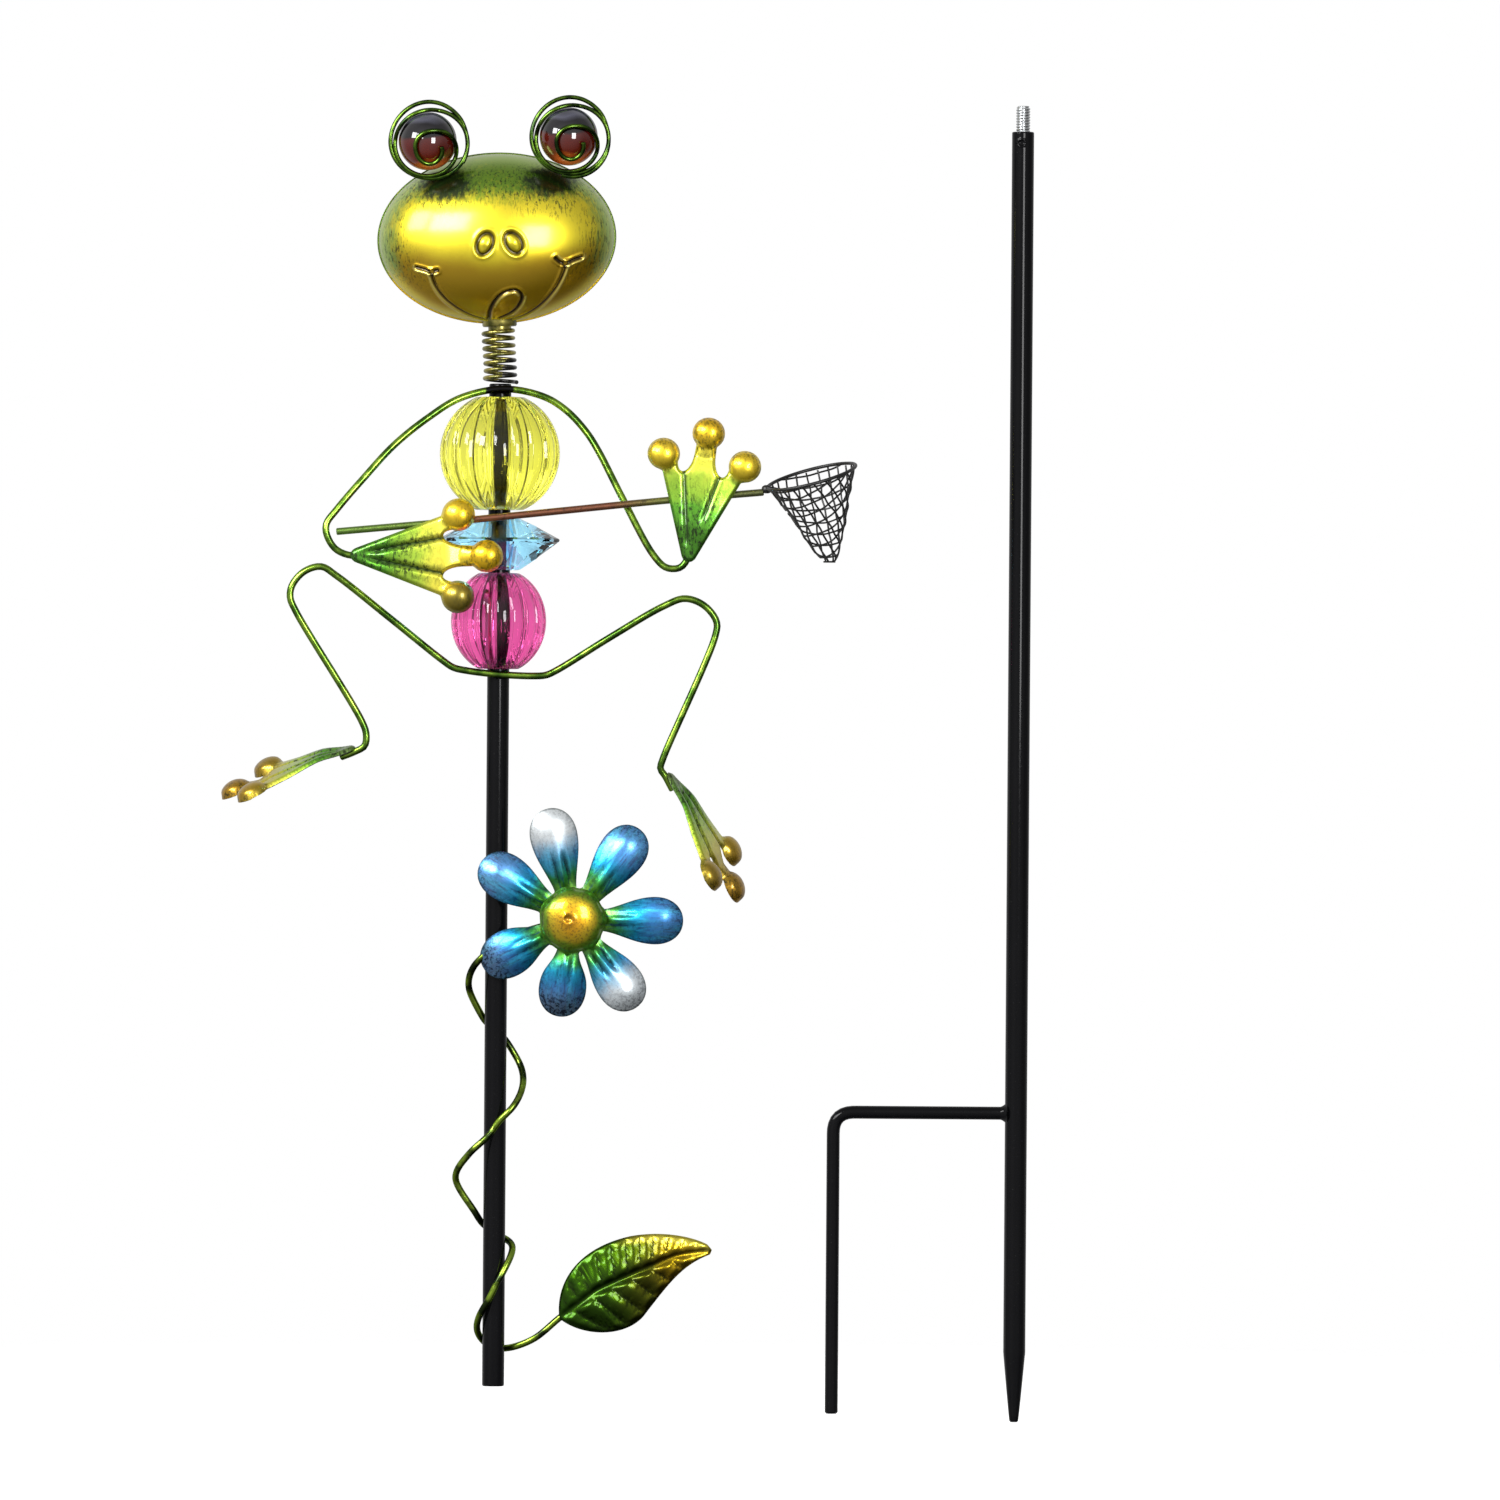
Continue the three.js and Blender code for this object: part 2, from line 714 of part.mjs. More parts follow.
const headParts = new THREE.Group();
headParts.position.z = -neckPivot;
headParts.add(
  makeNeckSpring(),
  makeNeckCollar(),
  makeHeadShell('head_front_shell', true),
  makeHeadShell('head_back_shell', false),
  ...makeEye('left'),
  ...makeEye('right'),
);
head.add(headParts);

const figure = new THREE.Group();
figure.position.set(figureX, 0, figureZ);
figure.add(
  makePole(),
  makeSocket(),
  makeArmWire(),
  makeLegWire(),
  ...Object.keys(hands).map(makeStamping),
  makeNetRod(),
  makeHoop(),
  makeNetBag(),
  makeVine(),
  makeLeaf(),
  makePetals(),
  makeFlowerCap(),
  makeMelonBead('upper_bead', upperBead, yellowAcrylic),
  makeDiscBead(),
  makeMelonBead('lower_bead', lowerBead, pinkAcrylic),
  head,
);

const gardenStake = new THREE.Group();
gardenStake.add(makeStakeTube(), makeStud(), makeProng(), figure);

export default gardenStake;
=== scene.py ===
import math

import bmesh
import bpy
import numpy as np
from mathutils import Matrix, Vector
from mathutils.geometry import delaunay_2d_cdt


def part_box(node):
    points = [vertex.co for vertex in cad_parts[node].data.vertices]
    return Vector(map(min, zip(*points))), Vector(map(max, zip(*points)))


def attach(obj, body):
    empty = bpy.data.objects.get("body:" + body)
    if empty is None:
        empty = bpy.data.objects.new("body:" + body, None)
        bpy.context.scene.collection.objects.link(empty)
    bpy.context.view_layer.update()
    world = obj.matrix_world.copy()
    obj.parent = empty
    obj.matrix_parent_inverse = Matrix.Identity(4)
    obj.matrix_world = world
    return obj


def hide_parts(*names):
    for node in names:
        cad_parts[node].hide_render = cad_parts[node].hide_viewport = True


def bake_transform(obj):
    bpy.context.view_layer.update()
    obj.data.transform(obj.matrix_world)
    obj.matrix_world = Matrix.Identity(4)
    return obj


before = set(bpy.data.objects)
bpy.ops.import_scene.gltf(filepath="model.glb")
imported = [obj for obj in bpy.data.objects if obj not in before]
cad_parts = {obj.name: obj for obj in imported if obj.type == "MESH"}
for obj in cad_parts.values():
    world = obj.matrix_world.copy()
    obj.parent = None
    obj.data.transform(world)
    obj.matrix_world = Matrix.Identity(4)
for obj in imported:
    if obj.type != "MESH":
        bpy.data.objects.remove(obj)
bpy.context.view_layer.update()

# Shapes are made in millimetres. The figure's pieces are made about its own pole, with the pole's lower
# end at height 0, and the head's pieces about the upright head, which then leans on its spring.

pole_low, pole_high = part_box("figure_pole")
FIGURE = np.array([
    500 * (pole_low.x + pole_high.x),
    500 * (pole_low.y + pole_high.y),
    1000 * pole_low.z,
])
TUBE_RADIUS = 500 * (pole_high.x - pole_low.x)
POLE_HEIGHT = 1000 * (pole_high.z - pole_low.z)
LIMB_RADIUS, ROD_RADIUS, VINE_RADIUS, HOOP_WIRE = 1.5, 1.55, 1.45, 0.75
# The lengths over which the colours of these pieces run.
ROD_LENGTH, HAND_LENGTH, LEAF_LENGTH, PETAL_LENGTH = 190, 64, 66, 47
NECK_PIVOT = 444.0
HEAD_LEAN = math.radians(2.3)
HEAD_CENTRE = np.array([0, 0, 493.6])
HEAD_HALF = np.array([50.75, 27.0, 36.25])


# ---------- places ----------

def in_stake(points):
    return np.asarray(points, float)


def in_figure(points):
    return np.asarray(points, float) + FIGURE


def in_head(points):
    x, y, z = np.asarray(points, float).T
    x, z = rotated(x, z - NECK_PIVOT, HEAD_LEAN)
    return in_figure(np.stack([x, y, z + NECK_PIVOT], 1))


# ---------- numbers and curves ----------

def unit(vectors):
    return vectors / np.linalg.norm(vectors, axis=-1, keepdims=True)


def circle(steps):
    """Angles in radians at equal steps once round."""
    return 2 * math.pi * np.arange(steps) / steps


def rotated(x, y, turn):
    return x * np.cos(turn) - y * np.sin(turn), x * np.sin(turn) + y * np.cos(turn)


def arc(centre, radius, start, end, steps):
    """Part of a circle, from one angle to another in degrees."""
    angle = np.radians(np.linspace(start, end, steps))
    return np.stack([centre[0] + radius * np.cos(angle), centre[1] + radius * np.sin(angle)], 1)


def distances(path):
    """How far along a line each of its points is."""
    return np.concatenate([[0], np.cumsum(np.linalg.norm(np.diff(path, axis=0), axis=1))])


def evenly(path, spacing, closed=False):
    """The same line with points at equal steps of about `spacing`. A closed line's start isn't repeated."""
    path = np.asarray(path, float)
    if closed:
        path = np.vstack([path, path[:1]])
    reach = distances(path)
    steps = max(int(round(reach[-1] / spacing)), 2)
    at = np.linspace(0, reach[-1], steps + 1)
    even = np.stack([np.interp(at, reach, values) for values in path.T], 1)
    return even[:-1] if closed else even


def through(points, spacing):
    """A smooth line through the points: a centripetal Catmull-Rom curve, at equal steps."""
    p = np.asarray(points, float)
    p = np.vstack([2 * p[0] - p[1], p, 2 * p[-1] - p[-2]])
    t = np.linspace(0, 1, 24, endpoint=False)[:, None]
    stretches = []
    for i in range(1, len(p) - 2):
        a, b, c, d = p[i - 1:i + 3]
        before, here, after = (math.sqrt(np.linalg.norm(step)) for step in (b - a, c - b, d - c))
        start = ((b - a) / before - (c - a) / (before + here) + (c - b) / here) * here
        end = ((c - b) / here - (d - b) / (here + after) + (d - c) / after) * here
        square = -3 * b + 3 * c - 2 * start - end
        cube = 2 * b - 2 * c + start + end
        stretches.append(b + start * t + square * t ** 2 + cube * t ** 3)
    return evenly(np.vstack([*stretches, p[-2:-1]]), spacing)


def bezier(*control, steps=16):
    """A quadratic or cubic curve, without its last point."""
    order = len(control) - 1
    t = np.linspace(0, 1, steps, endpoint=False)[:, None]
    return sum(math.comb(order, i) * (1 - t) ** (order - i) * t ** i * np.asarray(point, float)
               for i, point in enumerate(control))


def smoothstep(low, high, value):
    t = np.clip((np.asarray(value, float) - low) / (high - low), 0, 1)
    return t * t * (3 - 2 * t)


def bump(value, centre, width):
    """A bell of height 1 about a centre."""
    return np.exp(-((np.asarray(value, float) - centre) / width) ** 2)


def wobble(seed, *values):
    """A slow wave between -1 and 1 that repeats nowhere near, for the small unevenness of hand work."""
    total = 0
    for i, value in enumerate(values):
        total = total + np.sin(value * (0.71 + 0.23 * i) + seed * 2.3 + i)
        total = total + np.sin(value * (1.63 + 0.37 * i) + seed * 1.1 + 2 * i)
    return total / (2 * len(values))


def distance_to_line(points, line):
    """The distance from each point to a line of short straight stretches."""
    points, line = np.asarray(points, float), np.asarray(line, float)
    nearest = np.full(len(points), np.inf)
    for a, b in zip(line[:-1], line[1:]):
        along = b - a
        t = np.clip((points - a) @ along / (along @ along), 0, 1)
        nearest = np.minimum(nearest, np.linalg.norm(points - a - t[:, None] * along, axis=1))
    return nearest


# ---------- shapes ----------

# A solid is its points, its faces and a dict of values, each with one number for all points or for each.

def skin(rings, loop=False, **values):
    """A solid over a row of rings, closed at both ends or in a loop, with values for each ring."""
    rings = np.asarray(rings, float)
    count, sides = rings.shape[:2]
    here = np.arange(count if loop else count - 1)[:, None] * sides
    there = (here + sides) % (count * sides)
    side = np.arange(sides)
    ahead = (side + 1) % sides
    faces = np.stack([here + side, here + ahead, there + ahead, there + side], -1).reshape(-1, 4).tolist()
    points = rings.reshape(-1, 3)
    values = {name: np.repeat(value, sides) for name, value in values.items()}
    if not loop:
        first, last, base = len(points), len(points) + 1, len(points) - sides
        points = np.vstack([points, rings[0].mean(0), rings[-1].mean(0)])
        faces += [[first, (k + 1) % sides, k] for k in range(sides)]
        faces += [[last, base + k, base + (k + 1) % sides] for k in range(sides)]
        values = {name: np.append(value, [value[0], value[-1]]) for name, value in values.items()}
    return points, faces, values


def rings_about(radius, height, angle):
    """Rings about Z. The radius and the height have a row for each ring."""
    return np.stack(np.broadcast_arrays(radius * np.cos(angle), radius * np.sin(angle), height), -1)


def turned(profile, sides):
    """A profile of (radius, height) pairs turned about Z."""
    profile = np.asarray(profile, float)
    return skin(rings_about(profile[:, :1], profile[:, 1:], circle(sides)))


def bar_rings(path, side, up, radius, sides):
    """Round rings about a line, from two directions square to it."""
    angle = circle(sides)[:, None]
    across = np.cos(angle) * side[:, None] + np.sin(angle) * up[:, None]
    return path[:, None] + across * np.reshape(radius, (-1, 1, 1))


def wire(path, radius, sides=12, rounding=0.25):
    """A round bar along a line, with slightly rounded ends. Its `along` value is in millimetres."""
    path = np.asarray(path, float)
    tangents = unit(np.gradient(path, axis=0))
    side = np.cross(tangents[0], [0, 0, 1] if abs(tangents[0][2]) < 0.9 else [1, 0, 0])
    across = []
    for tangent in tangents:
        side = unit(side - tangent * (side @ tangent))
        across.append(side)
    across = np.array(across)
    up = np.cross(tangents, across)
    step = tangents[[0, -1]] * rounding * radius
    order = np.concatenate([[0], np.arange(len(path)), [len(path) - 1]])
    longer = np.vstack([path[:1], path[:1] + step[:1], path[1:-1], path[-1:] - step[1:], path[-1:]])
    radii = np.full(len(longer), float(radius))
    radii[[0, -1]] *= 1 - rounding
    return skin(bar_rings(longer, across[order], up[order], radii, sides), along=distances(path)[order])


def stamped(outline, spacing, relief, thickness):
    """A pressed sheet over a flat outline. `relief` gives the front's height and a dict of values, from the
    two coordinates and the distance to the edge. The front faces local +Z."""
    edge = evenly(outline, spacing, closed=True)
    closed = np.vstack([edge, edge[:1]])
    low, high = edge.min(0), edge.max(0)
    row_step, clearance = 0.87 * spacing, 0.55 * spacing
    rows = []
    for i, y in enumerate(np.arange(low[1], high[1], row_step)):
        xs = np.arange(low[0] + (i % 2) * spacing / 2, high[0], spacing)
        rows.append(np.stack([xs, np.full(len(xs), y)], 1))
    inside = np.vstack(rows)
    inside = inside[distance_to_line(inside, closed) > clearance]
    pairs = [(i, (i + 1) % len(edge)) for i in range(len(edge))]
    flat = [Vector(point) for point in np.vstack([edge, inside])]
    flat, _, faces, *_ = delaunay_2d_cdt(flat, pairs, [], 1, 1e-5)
    used, faces = np.unique([list(face) for face in faces], return_inverse=True)
    faces = faces.reshape(-1, 3)
    flat = np.array([tuple(point) for point in flat])[used]
    height, values = relief(flat[:, 0], flat[:, 1], distance_to_line(flat, closed))
    front = np.column_stack([flat, height])
    a, b, c = (front[faces[:, k]] for k in range(3))
    face_normal = np.cross(b - a, c - a)
    flip = face_normal[:, 2] < 0
    faces[flip] = faces[flip][:, ::-1]
    face_normal[flip] *= -1
    normal = np.zeros_like(front)
    for k in range(3):
        np.add.at(normal, faces[:, k], face_normal)
    count = len(front)
    edges = dict.fromkeys((i, j) for face in faces.tolist() for i, j in zip(face, face[1:] + face[:1]))
    rim = [[j, i, i + count, j + count] for i, j in edges if (j, i) not in edges]
    doubled = {name: np.tile(np.broadcast_to(value, count), 2) for name, value in values.items()}
    doubled["back"] = np.repeat([0.0, 1.0], count)
    points = np.vstack([front, front - unit(normal) * thickness])
    return points, faces.tolist() + (faces[:, ::-1] + count).tolist() + rim, doubled


def blob(centre, size, seed):
    """A lump of weld metal: an uneven little dome on both sides."""
    angle = circle(18)
    tilt = np.linspace(0, math.pi, 11)[1:-1, None]
    reach = np.sin(tilt) * (1 + 0.12 * wobble(seed, 3 * angle, 4 * tilt))
    points, faces, values = skin(rings_about(reach, -np.cos(tilt), angle))
    return points * size + centre, faces, values


def piece(name, solids, look, body, replaces=(), place=in_figure, crease=40):
    """Makes one object of some solids. `body` is None where the piece, like a spring half, lies between two
    bodies and is attached to neither.
    """
    mesh = bpy.data.meshes.new(name)
    counts = [len(points) for points, _, _ in solids]
    starts = np.cumsum([0] + counts).tolist()
    points = place(np.vstack([points for points, _, _ in solids])) / 1000
    faces = [[start + i for i in face] for start, solid in zip(starts, solids) for face in solid[1]]
    mesh.from_pydata(points.tolist(), [], faces)
    for key in sorted({key for solid in solids for key in solid[2]}):
        parts = [np.broadcast_to(solid[2].get(key, 0.0), count) for solid, count in zip(solids, counts)]
        attribute = mesh.attributes.new(key, "FLOAT", "POINT")
        attribute.data.foreach_set("value", np.concatenate(parts).astype(np.float32))
    work = bmesh.new()
    work.from_mesh(mesh)
    bmesh.ops.recalc_face_normals(work, faces=work.faces)
    work.to_mesh(mesh)
    work.free()
    mesh.shade_smooth()
    mesh.set_sharp_from_angle(angle=math.radians(crease))
    mesh.materials.append(look.material)
    made = bpy.data.objects.new(name, mesh)
    bpy.context.scene.collection.objects.link(made)
    if body:
        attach(made, body)
    if replaces:
        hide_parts(*replaces)
    return made


# ---------- materials ----------

class Number:
    """What comes out of a node. Arithmetic with it makes Math nodes."""

    def __init__(self, nodes, socket):
        self.nodes = nodes
        self.socket = socket

    def math(self, operation, other):
        return self.nodes.node("ShaderNodeMath", {0: self, 1: other}, operation=operation)

    def __add__(self, other):
        return self.math("ADD", other)

    def __sub__(self, other):
        return self.math("SUBTRACT", other)

    def __mul__(self, other):
        return self.math("MULTIPLY", other)

    def __truediv__(self, other):
        return self.math("DIVIDE", other)

    def rise(self, low, high, start=0.0, end=1.0):
        """`start` below `low`, `end` above `high` (or the other way round), smooth between."""
        return self.nodes.node("ShaderNodeMapRange", {
            "Value": self, "From Min": low, "From Max": high, "To Min": start, "To Max": end,
        }, interpolation_type="SMOOTHSTEP")


class Nodes:
    """A node tree."""

    def __init__(self, tree):
        self.tree = tree

    def node(self, kind, feeds=(), output=0, **settings):
        """Makes a node and gives one of its outputs."""
        made = self.tree.nodes.new(kind)
        for key, value in settings.items():
            setattr(made, key, value)
        for key, value in dict(feeds).items():
            self.feed(made.inputs[key], value)
        return Number(self, made.outputs[output])

    def feed(self, socket, value):
        if isinstance(value, Number):
            self.tree.links.new(value.socket, socket)
        elif isinstance(value, tuple) and len(value) == 3 and socket.type == "RGBA":
            socket.default_value = (*value, 1)
        else:
            socket.default_value = value


class Look(Nodes):
    """A material on one Principled shader. It keeps a slot name, which is not used. Its colour is laid on in
    coats, and its noise has a scale in waves for each millimetre."""

    def __init__(self, name, slot=None, **fixed):
        self.slot = slot or name
        self.material = bpy.data.materials.new(name)
        self.material.use_nodes = True
        super().__init__(self.material.node_tree)
        self.shader = self.tree.nodes["Principled BSDF"]
        self.position = self.node("ShaderNodeTexCoord", output="Object")
        for key, value in fixed.items():
            self.set(key.replace("_", " "), value)

    def set(self, name, value):
        for socket in self.shader.inputs:
            if socket.name.lower() == name.lower():
                self.feed(socket, value)
                return
        raise KeyError(name)

    def value(self, name):
        return self.node("ShaderNodeAttribute", output="Fac", attribute_name=name)

    def noise(self, scale, detail=3.0, roughness=0.55, stretch=(1, 1, 1), offset=0.0, at=None):
        place = self.node("ShaderNodeMapping", {
            "Vector": at or self.position, "Scale": stretch, "Location": (offset, offset, offset)})
        return self.node("ShaderNodeTexNoise", {
            "Vector": place, "Scale": 1000 * scale, "Detail": detail, "Roughness": roughness})

    def uneven(self, amount, *noise):
        """Noise about 0."""
        return (self.noise(*noise) - 0.5) * amount

    def speckle(self, scale, low, high, stretch=(1, 1, 1), offset=0.0):
        """Specks of brushed-on paint: 1 on a speck, 0 beside it."""
        return self.noise(scale, 4.0, 0.7, stretch, offset).rise(low, high)

    def mix(self, share, a, b):
        return self.node("ShaderNodeMix", {0: share, 6: a, 7: b}, 2, data_type="RGBA")

    def ramp(self, value, *stops):
        """Starts the colour from stops along a value."""
        self.colour = self.node("ShaderNodeValToRGB", {"Fac": value})
        line = self.colour.socket.node.color_ramp
        while len(line.elements) < len(stops):
            line.elements.new(0.5)
        for element, (at, colour) in zip(line.elements, stops):
            element.position = at
            element.color = (*colour, 1)

    def cloud(self, share, a, b):
        """Starts the colour from a mixture of two."""
        self.colour = self.mix(share, a, b)

    def coat(self, share, colour):
        """Lays another colour over the colour."""
        self.colour = self.mix(share, self.colour, colour)

    def finish(self, grain, low, high, relief=None, depth=0.0):
        """Sets the colour, roughness from `low` to `high`, and any bump, `depth` millimetres high."""
        self.set("Base Color", self.colour)
        self.set("Roughness", self.node("ShaderNodeMapRange", {
            "Value": self.noise(grain), "To Min": low, "To Max": high}))
        if relief:
            self.set("Normal", self.node("ShaderNodeBump", {
                "Height": relief, "Distance": depth / 1000, "Strength": 1.0}))
        return self

    def lacquer(self, metal, low, high, clear, grain=0.6, depth=0.02, clear_roughness=0.06):
        """Transparent lacquer over bright steel: a coloured metal under a clear coat."""
        self.set("Metallic", metal)
        self.set("Coat Weight", clear)
        self.set("Coat Roughness", clear_roughness)
        return self.finish(grain, low, high, self.noise(grain * 1.6, 2), depth)


def black_paint():
    look = Look("black_paint", specular_ior_level=0.15)
    look.cloud(look.noise(0.03), (0.0015, 0.0015, 0.002), (0.003, 0.003, 0.0035))
    look.coat(look.speckle(1.4, 0.66, 0.72) * 0.25, (0.09, 0.09, 0.09))
    return look.finish(0.4, 0.06, 0.14, look.noise(0.25, 2), 0.006)


def zinc():
    look = Look("zinc_steel", metallic=1.0)
    look.cloud(look.noise(0.8), (0.55, 0.57, 0.58), (0.78, 0.79, 0.8))
    look.coat(look.speckle(1.5, 0.6, 0.7) * 0.5, (0.2, 0.2, 0.2))
    return look.finish(1.2, 0.16, 0.4, look.noise(2.5), 0.03)


def black_wire():
    look = Look("black_wire", metallic=0.1)
    look.cloud(look.noise(0.3), (0.003, 0.003, 0.003), (0.012, 0.012, 0.011))
    return look.finish(0.5, 0.3, 0.5, look.noise(1.5), 0.04)


def wire_green(name, slot, dark, light, welded=False):
    """Green lacquer pulled thin and thick along a wire, with dark runs."""
    look = Look(name, slot, specular_tint=(0.04, 0.06, 0.02))
    look.cloud(look.noise(0.12, 4).rise(0.38, 0.62), dark, light)
    look.coat(look.speckle(0.25, 0.58, 0.7) * 0.45, (0.01, 0.03, 0.004))
    if welded:
        # The pole's own black paint ran over the weld.
        look.coat((look.value("weld") + look.noise(0.3) * 0.3).rise(0.55, 0.68), (0.008, 0.008, 0.008))
    return look.lacquer(1.0, 0.16, 0.3, 0.25)


def rod_lacquer():
    look = Look("rod_lacquer")
    look.ramp(
        look.value("along") / ROD_LENGTH,
        (0.0, (0.14, 0.26, 0.04)), (0.2, (0.16, 0.25, 0.04)), (0.3, (0.22, 0.08, 0.035)),
        (0.62, (0.2, 0.07, 0.035)), (0.74, (0.16, 0.18, 0.04)), (1.0, (0.1, 0.11, 0.04)),
    )
    look.coat(look.speckle(0.4, 0.54, 0.66) * 0.6, (0.03, 0.02, 0.015))
    return look.lacquer(0.85, 0.2, 0.4, 0.7)


def spring_lacquer():
    look = Look("spring_lacquer")
    look.cloud(look.noise(0.15).rise(0.4, 0.6), (0.1, 0.1, 0.015), (0.36, 0.31, 0.07))
    look.coat((look.value("dark") + look.noise(0.5) * 0.35).rise(0.55, 0.75), (0.012, 0.012, 0.01))
    return look.lacquer(0.9, 0.22, 0.38, 0.5)


def stamping_lacquer(name, gold, toe, heel):
    """Green at the heel, through lime, to gold on the toe balls, brushed over with black, and darkened in the
    creases and round the toe necks as painted shade.
    """
    look = Look(name, "stamping_lacquer")
    halfway = tuple(np.add(toe, gold) / 2)
    look.ramp(
        (look.value("u") + look.uneven(12, 0.12)) / HAND_LENGTH,
        (0.0, heel), (0.22, (0.1, 0.33, 0.02)), (0.42, (0.42, 0.6, 0.05)),
        (0.57, toe), (0.7, halfway), (0.84, gold),
    )
    look.coat(look.value("ball") * 0.7, gold)
    fine = look.speckle(0.9, 0.5, 0.6, stretch=(1, 1, 0.35))
    specks = fine.math("MAXIMUM", look.speckle(0.42, 0.56, 0.64, offset=0.2))
    # The black specks lie thicker where the shade value is high: painted shade along the creases and beside
    # the toe necks, and brushed-on black at the heel and on the balls.
    look.coat(specks * look.value("shade").rise(0.1, 0.9) * 0.9, (0.012, 0.02, 0.006))
    look.coat(look.value("grime") * 0.8, (0.07, 0.07, 0.015))
    # Painted shade darkens the creases and the rings round the toe balls and necks.
    look.coat(look.value("crease").rise(0.35, 1.0), (0.02, 0.05, 0.008))
    look.coat(look.value("back"), (0.1, 0.13, 0.05))
    return look.lacquer(0.88, 0.24, 0.42, 0.5, grain=0.8)


def leaf_lacquer():
    look = Look("leaf_lacquer")
    look.ramp(
        (look.value("u") + look.uneven(14, 0.1)) / LEAF_LENGTH,
        (0.0, (0.022, 0.08, 0.001)), (0.35, (0.032, 0.085, 0.001)), (0.6, (0.08, 0.085, 0.002)),
        (0.76, (0.36, 0.24, 0.005)), (0.9, (0.85, 0.6, 0.03)), (1.0, (0.8, 0.56, 0.04)),
    )
    # A painted highlight: gold along the upper edge.
    look.coat(look.value("gold"), (0.8, 0.68, 0.08))
    # Painted shade: dark specks thicker in the pleat valleys and along the lower edge, and dark lines in the
    # valleys and along the midrib.
    look.coat(look.speckle(0.5, 0.48, 0.62) * look.value("shade") * 0.8, (0.012, 0.02, 0.003))
    look.coat(look.value("crease") * 0.85, (0.01, 0.018, 0.003))
    look.coat(look.value("back"), (0.08, 0.12, 0.03))
    return look.lacquer(1.0, 0.2, 0.34, 0.2, grain=0.5, depth=0.01)


def petal_lacquer():
    look = Look("petal_lacquer")
    u = look.value("u") + look.uneven(9, 0.15)
    look.ramp(
        u / PETAL_LENGTH,
        (0.24, (0.2, 0.42, 0.01)), (0.4, (0.05, 0.36, 0.06)), (0.54, (0.003, 0.27, 0.42)),
        (0.72, (0.001, 0.22, 0.66)), (1.0, (0.003, 0.3, 0.85)),
    )
    # Brush strokes run along each petal.
    brush = {0: u * 0.00016, 1: look.value("v") * 0.001, 2: look.value("petal")}
    stroke = look.node("ShaderNodeCombineXYZ", brush)
    wash = look.noise(0.35, 3, 0.6, at=stroke).rise(0.44, 0.68)
    dark_strokes = look.noise(0.8, 3, 0.6, offset=0.4, at=stroke).rise(0.52, 0.66)
    silver = look.value("silver")
    look.coat(wash * u.rise(18, 30), (0.02, 0.5, 0.9))
    # Two petals' outer halves turn pale cyan and near white: silver paint together with a painted highlight.
    look.coat(silver * u.rise(18, 34) * 0.6, (0.25, 0.68, 0.95))
    look.coat(dark_strokes * 0.7, (0.002, 0.05, 0.22))
    look.coat(silver * u.rise(26, 38), (0.93, 0.98, 1.0))
    look.coat(look.value("soot") * 0.65, (0.2, 0.24, 0.28))
    # Painted shade: dark specks thick in the grooves and along the edges, and dark grooves, gaps and
    # outlines.
    look.coat(look.speckle(0.7, 0.47, 0.58) * look.value("shade") * 0.9, (0.004, 0.01, 0.03))
    look.coat(look.value("crease") * 0.85, (0.004, 0.03, 0.03))
    look.coat(look.value("back"), (0.08, 0.2, 0.26))
    return look.lacquer(0.9, 0.24, 0.42, 0.3, grain=0.7)


def gold_lacquer():
    look = Look("gold_lacquer")
    look.ramp(
        look.value("reach") + look.uneven(0.25, 0.2),
        (0.0, (0.5, 0.22, 0.006)), (0.35, (0.62, 0.33, 0.008)), (0.66, (0.5, 0.38, 0.015)),
        (0.78, (0.2, 0.34, 0.02)), (1.0, (0.1, 0.3, 0.015)),
    )
    look.coat(look.speckle(1.0, 0.5, 0.62) * 0.6, (0.08, 0.05, 0.01))
    return look.lacquer(0.9, 0.26, 0.44, 0.5, grain=0.8)


def head_lacquer():
    """Gold in the middle, brown-gold below, green round the rim and on top, paler green at the very rim as a
    painted reflection, with dark dry-brushed shading.
    """
    look = Look("head_lacquer")
    cloud = look.uneven(0.5, 0.05, 4)
    hair = look.uneven(1.1, 0.7, 3, 0.6, (1, 1, 0.14))
    look.cloud(look.noise(0.03), (0.92, 0.78, 0.03), (0.84, 0.66, 0.02))
    look.coat((look.value("brown") + cloud).rise(0.15, 0.95) * 0.85, (0.46, 0.25, 0.003))
    # The green turns paler at the very rim as a painted reflection.
    green_with_painted_rim_reflection = look.mix(look.value("rim").rise(0.75, 1.0), (0.12, 0.3, 0.02), (0.34, 0.5, 0.14))
    look.coat((look.value("green") + cloud + hair).rise(0.25, 0.95) * 0.92, green_with_painted_rim_reflection)
    coarse = look.speckle(0.5, 0.36, 0.62, stretch=(1, 1, 0.3))
    smudged = (coarse * 0.4 + look.value("smudge")).rise(0.42, 1.15)
    streaked = look.speckle(1.15, 0.52, 0.6, stretch=(1, 1, 0.2), offset=0.3) * look.value("streaks")
    look.coat(smudged.math("MAXIMUM", streaked * 0.95) * 0.94, (0.008, 0.02, 0.005))
    # A painted highlight on the ridge beside each pressed line.
    look.coat(look.value("lip") * 0.75, (1.0, 0.86, 0.2))
    # Painted shade in the pressed lines of the mouth and nostrils.
    look.coat(look.value("crease") * 0.96, (0.02, 0.011, 0.001))
    return look.lacquer(0.9, 0.27, 0.34, 0.7, grain=0.5, depth=0.01, clear_roughness=0.16)


def clear_acrylic(name, pale, deep):
    """Solid cast acrylic: clear and coloured through, with faint cloudiness in the colour."""
    look = Look(name, transmission_weight=1.0, ior=1.49)
    look.cloud(look.noise(0.06), pale, deep)
    return look.finish(0.3, 0.0, 0.05, look.noise(0.08, 1), 0.02)


